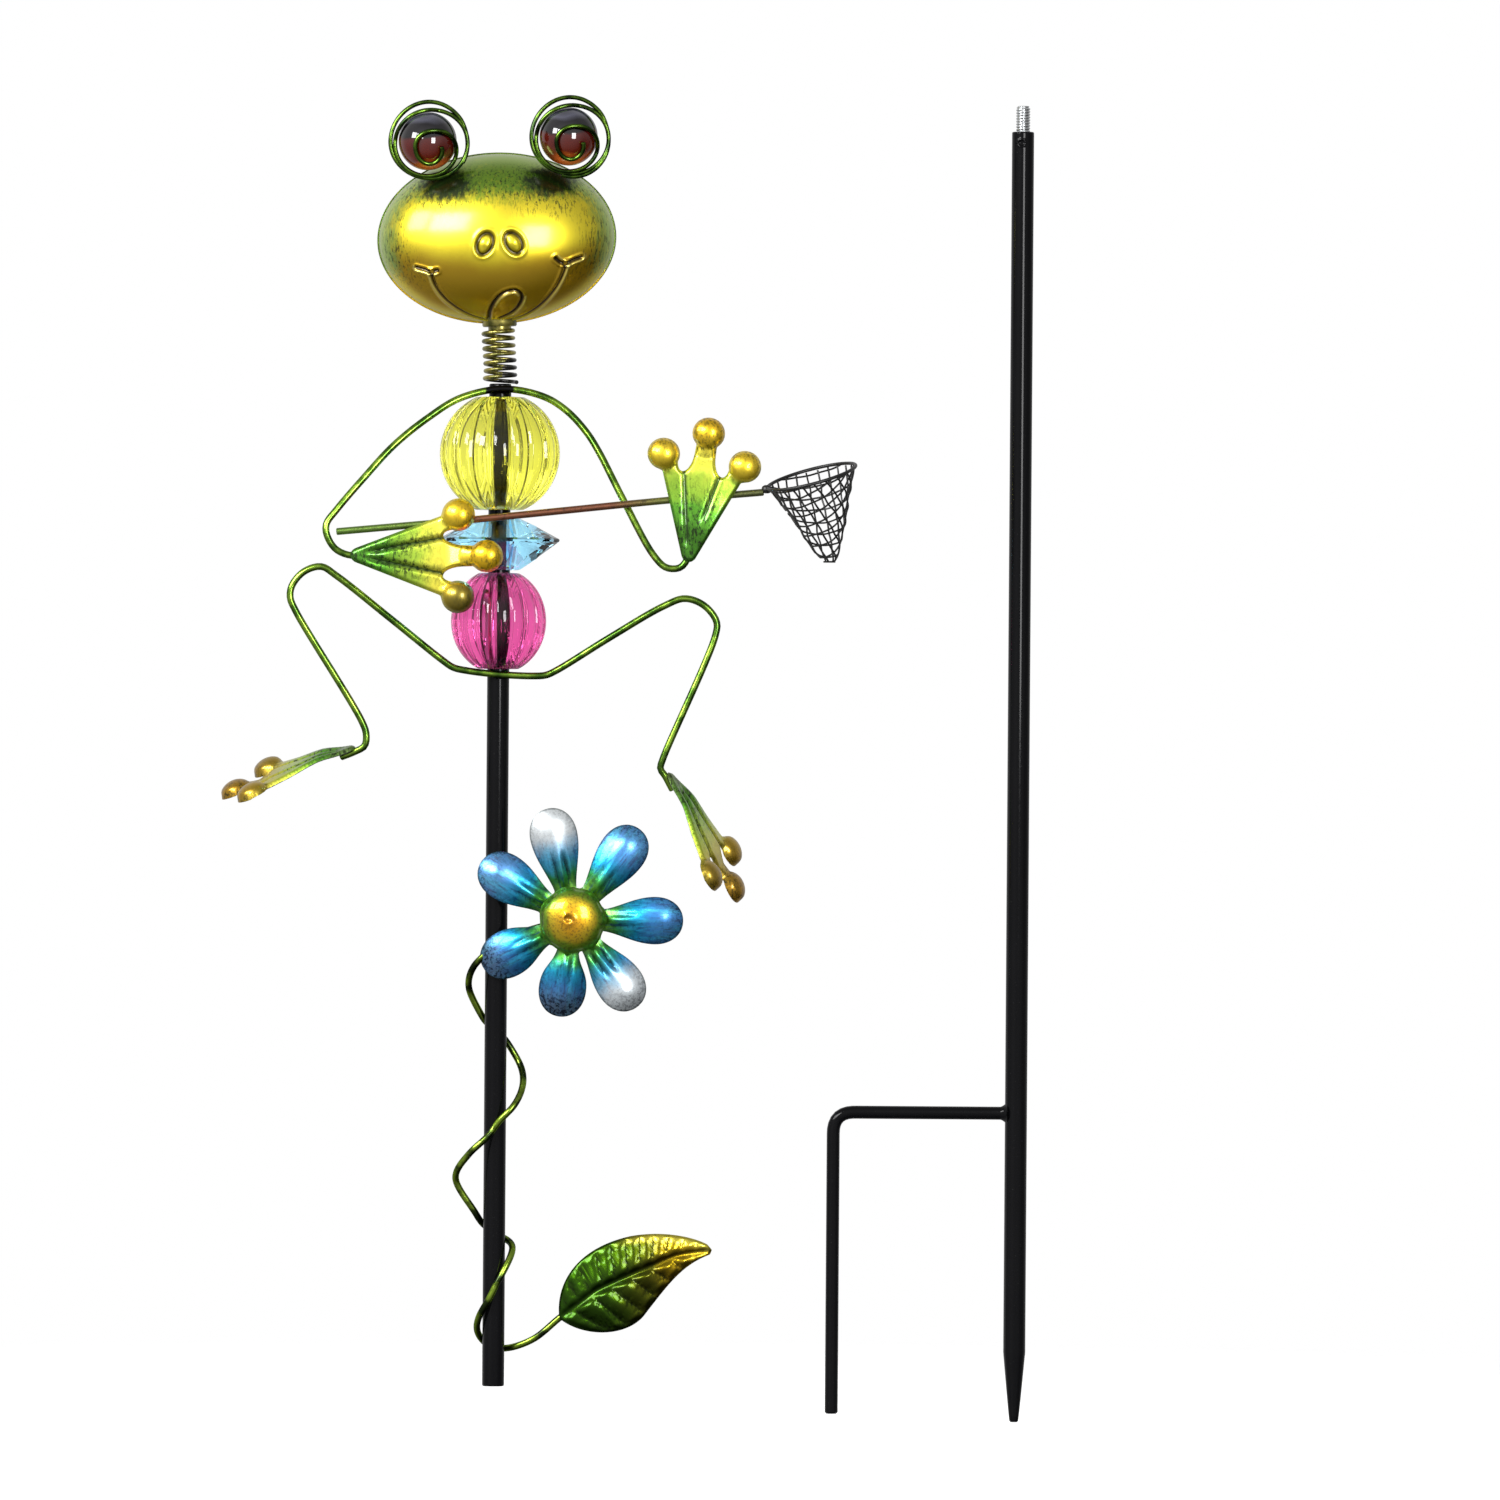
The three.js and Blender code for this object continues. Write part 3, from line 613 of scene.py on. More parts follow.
def amber_glass():
    """Glowing amber at the bottom as painted light through the glass, dark red in the middle and nearly black
    above, with a grey band near the top as a painted reflection.
    """
    look = Look("amber_glass", ior=1.5, transmission_weight=0.05, specular_ior_level=1.0)
    # Along the height, painted light glows amber at the bottom and a painted reflection makes the grey band
    # near the top.
    look.ramp(
        look.value("rise") * 0.5 + 0.5 + look.uneven(0.35, 0.07, 1),
        (0.0, (0.5, 0.14, 0.03)), (0.1, (0.36, 0.07, 0.01)), (0.2, (0.07, 0.007, 0.002)),
        (0.52, (0.06, 0.004, 0.003)), (0.58, (0.002, 0.001, 0.002)), (0.79, (0.003, 0.002, 0.004)),
        (0.87, (0.06, 0.06, 0.085)), (1.0, (0.02, 0.02, 0.03)),
    )
    return look.finish(0.2, 0.02, 0.06)


# ---------- ground stake ----------

BLACK = black_paint()
ZINC = zinc()
STAKE_HEIGHT = 554.7
PRONG_HEIGHT = 132.7
THREAD_PITCH = 1.2


def thread(heights, angle):
    """How far a thread stands out of its root, from 0 to 1."""
    phase = (heights[:, None] / THREAD_PITCH - angle / (2 * math.pi)) % 1
    return np.clip(1.25 * (1 - np.abs(2 * phase - 1)), 0, 1)


def make_stake_tube():
    wall, lip, tip, taper = 1.35, 0.6, 1.95, 29.4
    bore, stop = TUBE_RADIUS - wall, STAKE_HEIGHT - 40
    dimple_x, dimple_height = -0.7, 549.8
    profile = [
        (0, 0), (1.5, 0), (tip, 0.6),
        *((tip + (TUBE_RADIUS - tip) * t ** 0.94, 0.6 + taper * t) for t in np.linspace(0.08, 1, 14)),
        *((TUBE_RADIUS, z) for z in np.arange(60, 540, 30)),
        *((TUBE_RADIUS, z) for z in np.arange(544, STAKE_HEIGHT - lip, 0.3)),
        *arc((TUBE_RADIUS - lip, STAKE_HEIGHT - lip), lip, 0, 90, 6),
        (bore, STAKE_HEIGHT - 0.4), (bore, stop), (0, stop),
    ]
    points, faces, values = turned(profile, 96)
    # A plug weld near the top holds the stud: a shallow round dimple in the front.
    x, y, z = points.T
    reach = np.maximum(np.hypot(x, y), 1e-6)
    away = np.hypot(x - dimple_x, z - dimple_height)
    dent = 0.18 * bump(away, 1.6, 0.4) - 0.55 * smoothstep(1.5, 0.9, away)
    dent = np.where((y < 0) & (reach > TUBE_RADIUS - 0.1) & (away < 3), dent, 0)
    points[:, :2] *= (1 + dent / reach)[:, None]
    piece("painted_stake", [(points, faces, values)], BLACK, "ground_stake", ["stake_tube"], in_stake)


def make_stud():
    outer, root, chamfer = 3.05, 2.6, 1.3
    low, high = STAKE_HEIGHT - 18, STAKE_HEIGHT + 11.2
    heights = np.arange(low, high, THREAD_PITCH / 8)
    angle = circle(40)
    fade = smoothstep(high, high - chamfer, heights)[:, None]
    radius = (root + (outer - root) * thread(heights, angle)) * (0.82 + 0.18 * fade)
    solid = skin(rings_about(radius, heights[:, None], angle))
    piece("cut_stud", [solid], ZINC, "ground_stake", ["threaded_stud"], in_stake, crease=60)


def make_prong():
    radius, reach, bend, foot = 2.8, 78.5, 9.0, 3.0
    corner = np.array([-reach, 0, PRONG_HEIGHT])
    below = corner - [0, 0, bend]
    turn = bezier(corner + [bend, 0, 0], corner, below, steps=14)
    start = (-TUBE_RADIUS + 0.6, 0, PRONG_HEIGHT)
    path = evenly(np.vstack([start, turn, below, (-reach, 0, foot)]), 2.0)
    # The weld between prong and tube: a flared collar with an uneven edge.
    angle = circle(32)
    t = np.linspace(0, 1, 9)[:, None]
    flare = 2.7 + 2.1 * (1 - t) ** 2 * (1 + 0.22 * wobble(3, 2 * angle, 2.0))
    collar = rings_about(flare, 0.9 - TUBE_RADIUS - 3.6 * t, angle)[..., [2, 0, 1]] + [0, 0, PRONG_HEIGHT]
    solids = [wire(path, radius, 20), skin(collar)]
    piece("welded_prong", solids, BLACK, "ground_stake", ["fork_prong"], in_stake)


# ---------- figure: pole and socket ----------

def make_pole():
    edge, bore, stop = 0.7, 4.05, 420
    profile = [
        (0, stop), (bore, stop), (bore, 0.3), (bore + 0.25, 0),
        *arc((TUBE_RADIUS - edge, edge), edge, -90, 0, 5),
        *((TUBE_RADIUS, z) for z in np.arange(20, POLE_HEIGHT - 5, 20)),
        *arc((TUBE_RADIUS - edge, POLE_HEIGHT - edge), edge, 0, 90, 5),
        (0, POLE_HEIGHT),
    ]
    welds = [(-2.4, 428.2, 3.4, 1.7), (2.6, 428.4, 3.0, 1.9), (0.4, 305.2, 3.6, 1.3)]
    lumps = [blob((x, -TUBE_RADIUS - 0.6, z), (wide, 1.5, tall), seed)
             for seed, (x, z, wide, tall) in enumerate(welds)]
    piece("painted_pole", [turned(profile, 64), *lumps], BLACK, "figure", ["figure_pole"])


def make_socket():
    outer, root, inner = 3.74, 3.3, 3.0
    heights = np.arange(1, 21, THREAD_PITCH / 6)
    angle = circle(36)
    bore = rings_about(root - (root - inner) * thread(heights, angle), heights[:, None], angle)
    outside = rings_about(outer, heights[[-1, 0]][:, None], angle)
    solid = skin(np.concatenate([bore, outside]), loop=True)
    piece("threaded_socket", [solid], ZINC, "figure", ["socket_insert"], crease=60)


# ---------- figure: limbs ----------

HAND_FRONT = 27.6
LIMB_FRONT = 25.7
WELD_FRONT = TUBE_RADIUS + LIMB_RADIUS + 0.3
# Each stamping's heel, the way its toes point, and the way its face looks.
STAMPINGS = {
    "left_hand": ((-62.3, -HAND_FRONT, 356.5), (1, 0, 0), (0, -1, 0)),
    "right_hand": ((81.4, -HAND_FRONT, 355.4), (0.154, 0, 0.988), (0, -1, 0)),
    "left_foot": ((-61.9, -9, 274.1), (-0.89, 0.28, -0.36), (-0.42, -0.21, 0.88)),
    "right_foot": ((73.8, -9, 263.6), (0.47, 0.16, -0.87), (0.85, -0.34, 0.4)),
}


def stamping_axes(name):
    heel, toes, face = (np.array(v, float) for v in STAMPINGS[name])
    along = unit(toes)
    out = unit(face - along * (face @ along))
    return heel, along, np.cross(out, along), out


def under(name, reach):
    """A point of the limb behind a stamping, `reach` from its heel."""
    heel, along, _, out = stamping_axes(name)
    return tuple(heel + along * reach - out * (LIMB_RADIUS + 0.42))


ARM = [
    under("left_hand", 6), under("left_hand", -1.5), (-69.7, -25.3, 359.2), (-73.4, -25, 365.2),
    (-73.6, -24.5, 369.8), (-69.1, -23.5, 376.2), (-57.9, -20.5, 389.6), (-45.2, -16.5, 403.8),
    (-30.8, -12, 415.8), (-16.8, -8.6, 424.6), (1.5, -WELD_FRONT, 428.6),
    (19, -8.4, 425.3), (28.9, -10, 419.2), (37.3, -12.5, 410.2), (42.8, -15, 401.6), (52.5, -19, 382.9),
    (66.6, -23.5, 357.4), (72.2, -25, 352.1), (78.2, -25.4, 352.3), under("right_hand", 2),
    under("right_hand", 8),
]
LEG = [
    under("left_foot", 7), under("left_foot", 0), (-57, -9.6, 274.8), (-56.3, -9.6, 279.7),
    (-58, -9.4, 284.9), (-86.9, -9, 332.4), (-89.4, -9, 338.4), (-88.6, -8.8, 343.6), (-83.4, -8.6, 349.6),
    (-76.1, -8.4, 351.7),
    (-69.7, -8.2, 347.9), (-45, -7.7, 328.6), (-23.6, -7.3, 311.7), (-19.2, -7.2, 308.8), (-14, -7.2, 307.6),
    (0, -WELD_FRONT, 306), (15.5, -7.2, 305.4), (20.6, -7.2, 305.8), (25.2, -7.3, 307.9),
    (48, -7.8, 322.2), (71, -8.2, 335.8), (80, -8.4, 339.1), (88.2, -8.6, 336.3), (93.7, -8.8, 329.4),
    (93.3, -9, 323.4), (71, -9, 269.8), (70.1, -8.8, 266), under("right_foot", 0), under("right_foot", 7),
]
ROD = [
    (-69.3, -LIMB_FRONT, 366.5), (-8.6, -LIMB_FRONT, 372.3), (71.9, -LIMB_FRONT, 380.9),
    (113.6, -LIMB_FRONT, 384.7),
]


def make_limbs():
    green = wire_green("green_lacquer", "green_lacquer", (0.05, 0.13, 0.01), (0.25, 0.43, 0.045), welded=True)
    for name, node, route, radius, look, weld in (
            ("arm_bar", "arm_wire", ARM, LIMB_RADIUS, green, 1.0),
            ("leg_bar", "leg_wire", LEG, LIMB_RADIUS, green, 0.4),
            ("rod_bar", "net_rod", ROD, ROD_RADIUS, rod_lacquer(), 0.0)):
        points, faces, values = wire(through(route, 1.6), radius, 14)
        values["weld"] = weld * bump(points[:, 0], 0, 7)
        piece(name, [(points, faces, values)], look, "figure", [node])


# The hands and feet are one stamping. u runs from the heel to the toes and v across the palm.
BALL = 7.0
# Each toe ball's centre, and the way its toe leans in degrees.
TOES = ((56.3, 0, 0), (44.4, 17.6, 30), (44.4, -17.6, -30))


def hand_outline():
    join = 39
    (mid, _, _), (side, wide, lean), _ = TOES
    mirror = np.array([1, -1])
    low_ball = arc((side, -wide), BALL, 180 + join - lean, 540 - join - lean, 26)
    mid_ball = arc((mid, 0), BALL, 180 + join, 540 - join, 26)
    high_ball = low_ball[::-1] * mirror
    web = ((46.0, 4.6), (37.6, 5.2), (35.4, 10.2))
    low_web = bezier(low_ball[-1], *(np.array(web)[::-1] * mirror), steps=14)[1:]
    high_web = bezier(*web, high_ball[0], steps=14)
    heel = arc((2.2, 0), 3.1, 112, 248, 8)
    return np.vstack([
        [(0.9, -2.9), (37, -17.0)], low_ball, low_web, [(46.0, -4.6)], mid_ball, high_web, high_ball,
        [(37, 17.0), (0.9, 2.9)], heel,
    ])


def hand_relief(seed, lower, upper, crease_depth, green_reach, grimy):
    crown, crease_width, dome_height, dome_radius, ridge_height = 1.9, 1.15, 5.3, 7.2, 2.5

    def relief(u, v, edge):
        # A crease runs up each side of the palm.
        side = np.abs(v) - 0.2 * u
        start, full = np.where(v < 0, np.reshape(lower, (2, 1)), np.reshape(upper, (2, 1)))
        valley = bump(side, 0, crease_width) * smoothstep(start, full, u) * smoothstep(42, 37, u)
        height = 0.3 + crown * smoothstep(0, 16, u) * smoothstep(50, 38, u) - crease_depth * valley
        height = height - 0.085 * np.maximum(side, 0) * smoothstep(10, 30, u) * smoothstep(44, 36, u)
        neck_shade = np.zeros_like(u)
        ball = np.zeros_like(u)
        for x, y, lean in TOES:
            away = np.hypot(u - x, v - y)
            ball = np.maximum(ball, smoothstep(8.2, 5.6, away))
            dome = dome_height * np.sqrt(np.clip(1 - (away / dome_radius) ** 2, 0, 1))
            # The toe's own ridge runs back from the ball into the palm.
            back = math.radians(180 + lean)
            along = (u - x) * math.cos(back) + (v - y) * math.sin(back)
            off = np.abs((v - y) * math.cos(back) - (u - x) * math.sin(back))
            ridge = ridge_height * np.clip(1 - (off / (4.9 + 0.1 * along)) ** 2, 0, 1)
            ridge = ridge * smoothstep(18, 3, along) * (along > 0)
            height = np.maximum.reduce([height, dome, ridge])
            # Painted shade beside each toe's neck and in a ring round its ball.
            beside = 0.7 * bump(along, 8.6, 2.6) * smoothstep(2.4, 4.6, off) * (off < 6)
            neck_shade = np.maximum.reduce([neck_shade, beside, 0.5 * bump(away, 7.1, 0.9)])
        height = height + 0.25 * wobble(seed, u / 5, v / 5)
        height = height - 1.4 * (1 - np.clip(edge / 1.5, 0, 1)) ** 2
        # The shade value is painted shade along the creases and beside the toe necks, and it also brings
        # black specks to the heel and the balls.
        shade = (0.26 + 0.75 * bump(side, 0, 4.5) * smoothstep(46, 20, u) + 0.6 * neck_shade
                 + 0.35 * smoothstep(20, 0, u) + 0.3 * smoothstep(40, 50, u))
        return height, {
            "u": u - green_reach,
            "crease": np.maximum(0.95 * valley, 0.5 * neck_shade),
            "shade": np.clip(shade, 0, 1),
            "ball": ball,
            "grime": grimy * smoothstep(13, 4, np.hypot(u - 46, v + 20)),
        }
    return relief


def make_hands():
    warm = stamping_lacquer("hand_lacquer", (0.84, 0.52, 0.012), (0.92, 0.84, 0.08), (0.06, 0.22, 0.015))
    pale = stamping_lacquer("foot_lacquer", (0.4, 0.22, 0.012), (0.6, 0.55, 0.06), (0.16, 0.24, 0.07))
    # The look, the share of the stamping's length, how far from the heel the lower and the upper crease
    # start and are full, how deep they are, how much farther the green reaches, and how dirty the lower toe
    # ball is.
    kinds = {
        "left_hand": (warm, 1.02, (3, 11), (3, 11), 1.2, 0, 1.0),
        "right_hand": (warm, 0.975, (14, 22), (3, 10), 0.8, 9, 0.0),
        "left_foot": (pale, 1.0, (3, 11), (3, 11), 1.3, 0, 0.3),
        "right_foot": (pale, 1.0, (5, 13), (5, 13), 1.3, 0, 0.3),
    }
    thickness = 0.9
    for seed, (name, (look, length, *marks)) in enumerate(kinds.items()):
        heel, *axes = stamping_axes(name)
        points, faces, values = stamped(hand_outline(), 0.75, hand_relief(seed, *marks), thickness)
        points = heel + (points * [length, 1, 1] + [0, 0, thickness]) @ np.array(axes)
        piece(f"{name}_stamping", [(points, faces, values)], look, "figure", [name])


# ---------- figure: landing net ----------

HOOP = np.array([134, -LIMB_FRONT, 391.5])
HOOP_RADIUS = 19.5
HOOP_ROLL = math.radians(14.7)
HOOP_PITCH = math.radians(10.6)
NET_TIP = np.array([142.1, -LIMB_FRONT, 353.8])
NET_THREAD = 0.42
NET_PITCH = 5.0
NET_SLANT = 50.0
# The bag's radius falls by this share from the hoop to the tip, with this power of the depth.
NET_TAPER = 0.82
NET_POWER = 0.95


def net_point(angle, depth, inset=0.0):
    """A point of the bag: `angle` round the hoop in radians, `depth` from 0 at the hoop to 1 at the tip."""
    angle, depth = np.broadcast_arrays(np.asarray(angle, float), np.asarray(depth, float))
    level = (1 - depth) ** 1.2
    narrow = np.sqrt(np.clip(1 - depth ** 12, 0, 1)) * (1 - NET_TAPER * depth ** NET_POWER)
    radius = (HOOP_RADIUS - inset) * narrow
    sag = 0.5 * wobble(5, angle * 3, depth * 17) * smoothstep(0, 0.1, depth)
    across = radius * np.cos(angle)
    back = radius * np.sin(angle)
    return HOOP + depth[..., None] * (NET_TIP - HOOP) + np.stack([
        across * np.cos(HOOP_ROLL * level) + sag,
        back * np.cos(HOOP_PITCH * level) + sag,
        across * np.sin(HOOP_ROLL * level) + back * np.sin(HOOP_PITCH * level),
    ], -1)


def mesh_lines():
    """The bag's wires: a flat sheet of square mesh, rolled into the cone. It is square to the cone at the
    back."""
    spread = HOOP_RADIUS / NET_SLANT
    seam = math.radians(190)
    square = spread * (1.5 * math.pi - seam)
    reach = np.arange(-NET_SLANT, NET_SLANT, 1.0)
    lines = []
    for way in (0, 1):
        for k in range(-10, 11):
            beside = (k + 0.5) * NET_PITCH + 0.25 * wobble(k, 3.1 * way) + 0.2 * wobble(k + way, reach / 3)
            x, y = (reach, beside) if way else (beside, reach)
            slant = np.hypot(x, y) / NET_SLANT
            turn = (np.arctan2(y, x) + square + math.pi) % (2 * math.pi) - math.pi
            kept = (slant < 0.995) & (slant > 0.2) & (np.abs(turn) < math.pi * spread)
            depth = np.clip((1 - slant) / NET_TAPER, 0, 1) ** (1 / NET_POWER)
            on_cone = net_point(turn / spread + seam - math.pi, depth, 0.3 + 0.3 * way)
            stops = np.flatnonzero(np.diff(kept.astype(int))) + 1
            runs = np.split(np.arange(len(reach)), stops)
            lines += [on_cone[run] for run in runs if kept[run[0]] and len(run) > 3]
    return lines


def make_net():
    black = black_wire()
    hoop = net_point(circle(72), 0)
    outward = unit(hoop - HOOP)
    up = np.cross(unit(np.roll(hoop, -1, 0) - np.roll(hoop, 1, 0)), outward)
    ring = skin(bar_rings(hoop, outward, up, HOOP_WIRE, 12), loop=True)
    weld = blob((114.8, -LIMB_FRONT, 386.0), (2.4, 2.0, 1.9), 7)
    piece("hoop_ring", [ring, weld], black, "figure", ["net_hoop"])
    tip_ring = net_point(np.linspace(0, 2 * math.pi, 25), 0.965, 0.3)
    threads = [wire(line, NET_THREAD, 6) for line in [*mesh_lines(), tip_ring]]
    piece("woven_net", threads, black, "figure", ["net_bag"])


# ---------- figure: vine, leaf and flower ----------

# Each station is (turn in degrees, distance from the pole's axis, height). 0 degrees is on the right, 90
# behind, 180 on the left and 270 in front.
VINE = [
    (5, 31.5, 31.8), (5, 27.9, 29.0), (8, 17.9, 20.6), (30, 9.4, 16.6), (90, 7.1, 16.3), (150, 7.1, 21.5),
    (245, 7.2, 35.7), (290, 7.2, 46.4), (360, 7.9, 59.3), (450, 7.2, 65.8), (520, 7.9, 73.1),
    (545, 16.8, 89.4), (575, 13, 100.2), (627, 7.3, 110.9), (678, 10.6, 120.4), (715, 12, 130.3),
    (745, 11.3, 138.9), (770, 7.9, 147.5), (808, 7.2, 152.7), (860, 7.2, 158.2), (900, 11.6, 171.1),
    (935, 11.4, 180.6), (988, 8.9, 190), (1046, 18.9, 196.8), (1061.5, 34, 200.8),
]


def make_vine():
    # The turn is made about as large as the lengths beside it, so that the curve runs evenly.
    scale = np.array([0.12, 1, 1])
    turn, reach, height = (through(VINE * scale, 0.8) / scale).T
    angle = np.radians(turn)
    path = evenly(np.stack([reach * np.cos(angle), reach * np.sin(angle), height], 1), 1.3)
    lacquer = wire_green("vine_lacquer", "vine_lacquer", (0.014, 0.028, 0.002), (0.26, 0.4, 0.035))
    piece("vine_tendril", [wire(path, VINE_RADIUS, 14)], lacquer, "figure", ["vine_wire"])


LEAF_BASE = np.array([28.3, 0.5, 29.2])
MIDRIB = [
    (0, 0), (10.5, 8), (15.2, 11.7), (28.7, 18.2), (35.2, 21), (40.4, 23.3), (50.1, 27.5), (58.6, 28.9),
    (65, 29.4),
]


def pleats(along, away, low, high, pitch, start):
    """Pleats that slant away from the midrib, and more so towards the leaf's tip."""
    return np.abs(np.sin(math.pi * (along - away * np.interp(along, [0, 70], [low, high])) / pitch + start))


def leaf_relief(u, v, edge):
    crown, fine_height, broad_height, rib_depth, rim_drop = 2.6, 0.65, 1.15, 1.1, 0.9
    rib = through(MIDRIB, 1.0)
    flat = np.column_stack([u, v])
    away = distance_to_line(flat, rib)
    # How far along the midrib a point is, and which side of it.
    nearest = np.argmin(np.linalg.norm(flat[:, None] - rib[None], axis=2), axis=1)
    ahead = unit(np.gradient(rib, axis=0))[nearest]
    offset = flat - rib[nearest]
    side = ahead[:, 0] * offset[:, 1] - ahead[:, 1] * offset[:, 0]
    upper = side > 0
    along = nearest.astype(float)
    # Fine pleats lie above the midrib and broad ones below it.
    fine = pleats(along, away, 0.05, 0.55, 6.0, 0.4)
    broad = pleats(along, away, 0.35, 0.75, 9.5, 0.9)
    reach = smoothstep(0.6, 3.5, away) * smoothstep(0.2, 3.0, edge)
    height = crown * smoothstep(0, 13, edge)
    height = height + np.where(upper, fine_height * fine, broad_height * broad ** 0.9) * reach
    height = height - rib_depth * bump(away, 0, 1.5) * smoothstep(-2, 6, along)
    height = height - rim_drop * (1 - np.clip(edge / 1.2, 0, 1)) ** 2
    # Painted shade: dark lines in the valleys between the pleats and along the midrib, and thicker dark
    # specks in the valleys and along the lower edge.
    valley_shade = np.clip(np.where(upper, 1 - fine * 3.2, 1 - broad * 4.0), 0, 1) * reach
    shade = 0.1 + 0.8 * np.clip(np.where(upper, 1 - fine, 1.1 - broad), 0, 1)
    shade = shade + 0.35 * smoothstep(5, 0, edge) * (side < 0)
    return height, {
        "u": u,
        "crease": np.maximum(valley_shade * 0.8, 0.25 * bump(away, 0, 0.7)),
        "shade": np.clip(shade, 0, 1),
        # A painted highlight in gold along the upper edge towards the tip.
        "gold": smoothstep(4.5, 1.0, edge) * upper * smoothstep(22, 44, u),
    }


def on_front(base, points):
    """A stamping's points, with its face turned to the front."""
    u, v, height = points.T
    return base + np.stack([u, -height, v], 1)


def make_leaf():
    outline = np.vstack([
        bezier((0, 0), (-2, 14), (6, 30), (30, 35.6), steps=30),
        bezier((30, 35.6), (42, 38), (56, 36.5), (64.5, 31.8), steps=24),
        [(65.4, 30), (64.6, 28.0)],
        bezier((63.6, 27.6), (52, 23), (46, 14), (36, 1), steps=24),
        bezier((36, 1), (28, -8), (10, -8), (0, 0), steps=28),
    ])
    points, faces, values = stamped(outline, 0.6, leaf_relief, 0.7)
    solid = on_front(LEAF_BASE - [0, 0.6, 0], points), faces, values
    piece("veined_leaf", [solid], leaf_lacquer(), "figure", ["leaf"])


FLOWER = np.array([32.9, -13.2, 200.8])
# Each petal's direction in degrees, length, tilt and roll in millimetres, how silver its tip is, partly as a
# painted highlight, and how sooty its tip is.
PETALS = np.array([
    (0, 47.5, 0.9, 0.5, 0.06, 0.2),
    (54, 48.5, -0.8, -0.6, 0.1, 0.2),
    (103, 49, 2.4, 0.3, 1.0, 0.0),
    (148, 46.5, 0.6, 0.7, 0.12, 0.2),
    (208, 43.6, -6.0, -0.4, 0.05, 0.9),
    (262, 42, -9.0, 0.2, 0.08, 1.0),
    (307, 46.5, 1.0, -0.6, 0.95, 0.3),
])
DEEP_PETALS = (2, 6)
PETAL_HALF, PETAL_DOME = 10.2, 4.2


def petal_outline():
    outline = []
    for degrees, length, *_ in PETALS:
        wide, half = length - 12, PETAL_HALF
        side = np.array([
            *bezier((12.5, -4.6), (20, -5.5), (wide - 9, -half), (wide, -half), steps=16),
            *bezier((wide, -half), (wide + 7, -half), (length, -6), (length, 0), steps=14),
            *bezier((length, 0), (length, 6), (wide + 7, half), (wide, half), steps=14),
            *bezier((wide, half), (wide - 9, half), (20, 5.5), (12.5, 4.6), steps=17),
        ])
        outline.append(np.stack(rotated(*side.T, math.radians(degrees)), 1))
    return np.vstack(outline)


def petal_relief(x, y, edge):
    gap = (np.degrees(np.arctan2(y, x))[:, None] - PETALS[:, 0] + 180) % 360 - 180
    which = np.argmin(np.abs(gap), axis=1)
    direction, length, tilt, roll, silver, soot = PETALS[which].T
    along, across = rotated(x, y, -np.radians(direction))
    rooted = smoothstep(12, 20, along)
    dome = PETAL_DOME * (1 - (1 - np.clip(edge / PETAL_HALF, 0, 1)) ** 2)
    groove = bump(np.abs(across), 2.4, 0.95) * smoothstep(13, 19, along) * smoothstep(31, 24, along)
    deep = 0.45 + 0.85 * np.isin(which, DEEP_PETALS)
    bend = np.clip((along - 12) / 35, 0, 1.1)
    height = dome * (0.25 + 0.75 * rooted) - deep * groove + tilt * bend ** 1.3
    height = height + rooted * (roll * across / 10 + 0.18 * wobble(4, along / 4, across / 4))
    # Painted shade: dark between the petals near their roots, in the grooves and in a thin outline along each
    # petal's edge.
    between = 0.75 * smoothstep(2.5, 0.2, edge) * smoothstep(23, 15, along)
    tip = smoothstep(length - 14, length - 3, along)
    # Dark specks gather in the grooves and along the edges as painted shade, and on the sooty tips.
    shade = 0.22 + 0.5 * groove + 0.4 * smoothstep(4.0, 0.5, edge) * (1 - 0.8 * silver) + 0.9 * tip * soot
    return height, {
        "u": along * PETAL_LENGTH / length,
        "v": across,
        "crease": np.maximum.reduce([0.7 * groove * deep, between, 0.95 * smoothstep(0.75, 0.1, edge)]),
        "shade": np.clip(shade, 0, 1),
        "silver": silver,
        "soot": soot * tip,
        "petal": which * 0.01,
    }


def make_flower():
    points, faces, values = stamped(petal_outline(), 0.85, petal_relief, 0.8)
    solid = on_front(FLOWER - [0, 0.2, 0], points), faces, values
    piece("flower_stamping", [solid], petal_lacquer(), "figure", ["flower_petals"])

    # The centre is one pressed dome with a wavy rim, and a small off-centre pit where it was spot welded.
    rim = 14.3
    profile = [
        (0, -0.6), (12.0, -0.6), (14.0, 0.2), (rim, 0.7), (13.9, 1.2),
        *((13.4 * math.cos(a) ** 0.92, 1.2 + 6.2 * math.sin(a))
          for a in np.linspace(0.1, math.pi / 2, 24)[:-1]),
        (0, 7.4),
    ]
    points, faces, _ = turned(profile, 84)
    x, y, h = points.T
    reach, angle = np.hypot(x, y), np.arctan2(y, x)
    ripple = smoothstep(11.5, 14, reach)
    swell = 1 + 0.025 * np.cos(7 * angle - 0.4) * ripple
    x, y = x * swell, y * swell
    away = np.hypot(x + 1.6, y - 0.6)
    h = h + 0.4 * np.cos(11 * angle) * ripple - 0.9 * bump(away, 0, 1.5) + 0.35 * bump(away, 2.2, 0.8)
    solid = on_front(FLOWER - [0, 3.2, 0], np.stack([x, y, h], 1)), faces, {"reach": reach / rim}
    piece("flower_centre", [solid], gold_lacquer(), "figure", ["flower_cap"])


# ---------- beads ----------

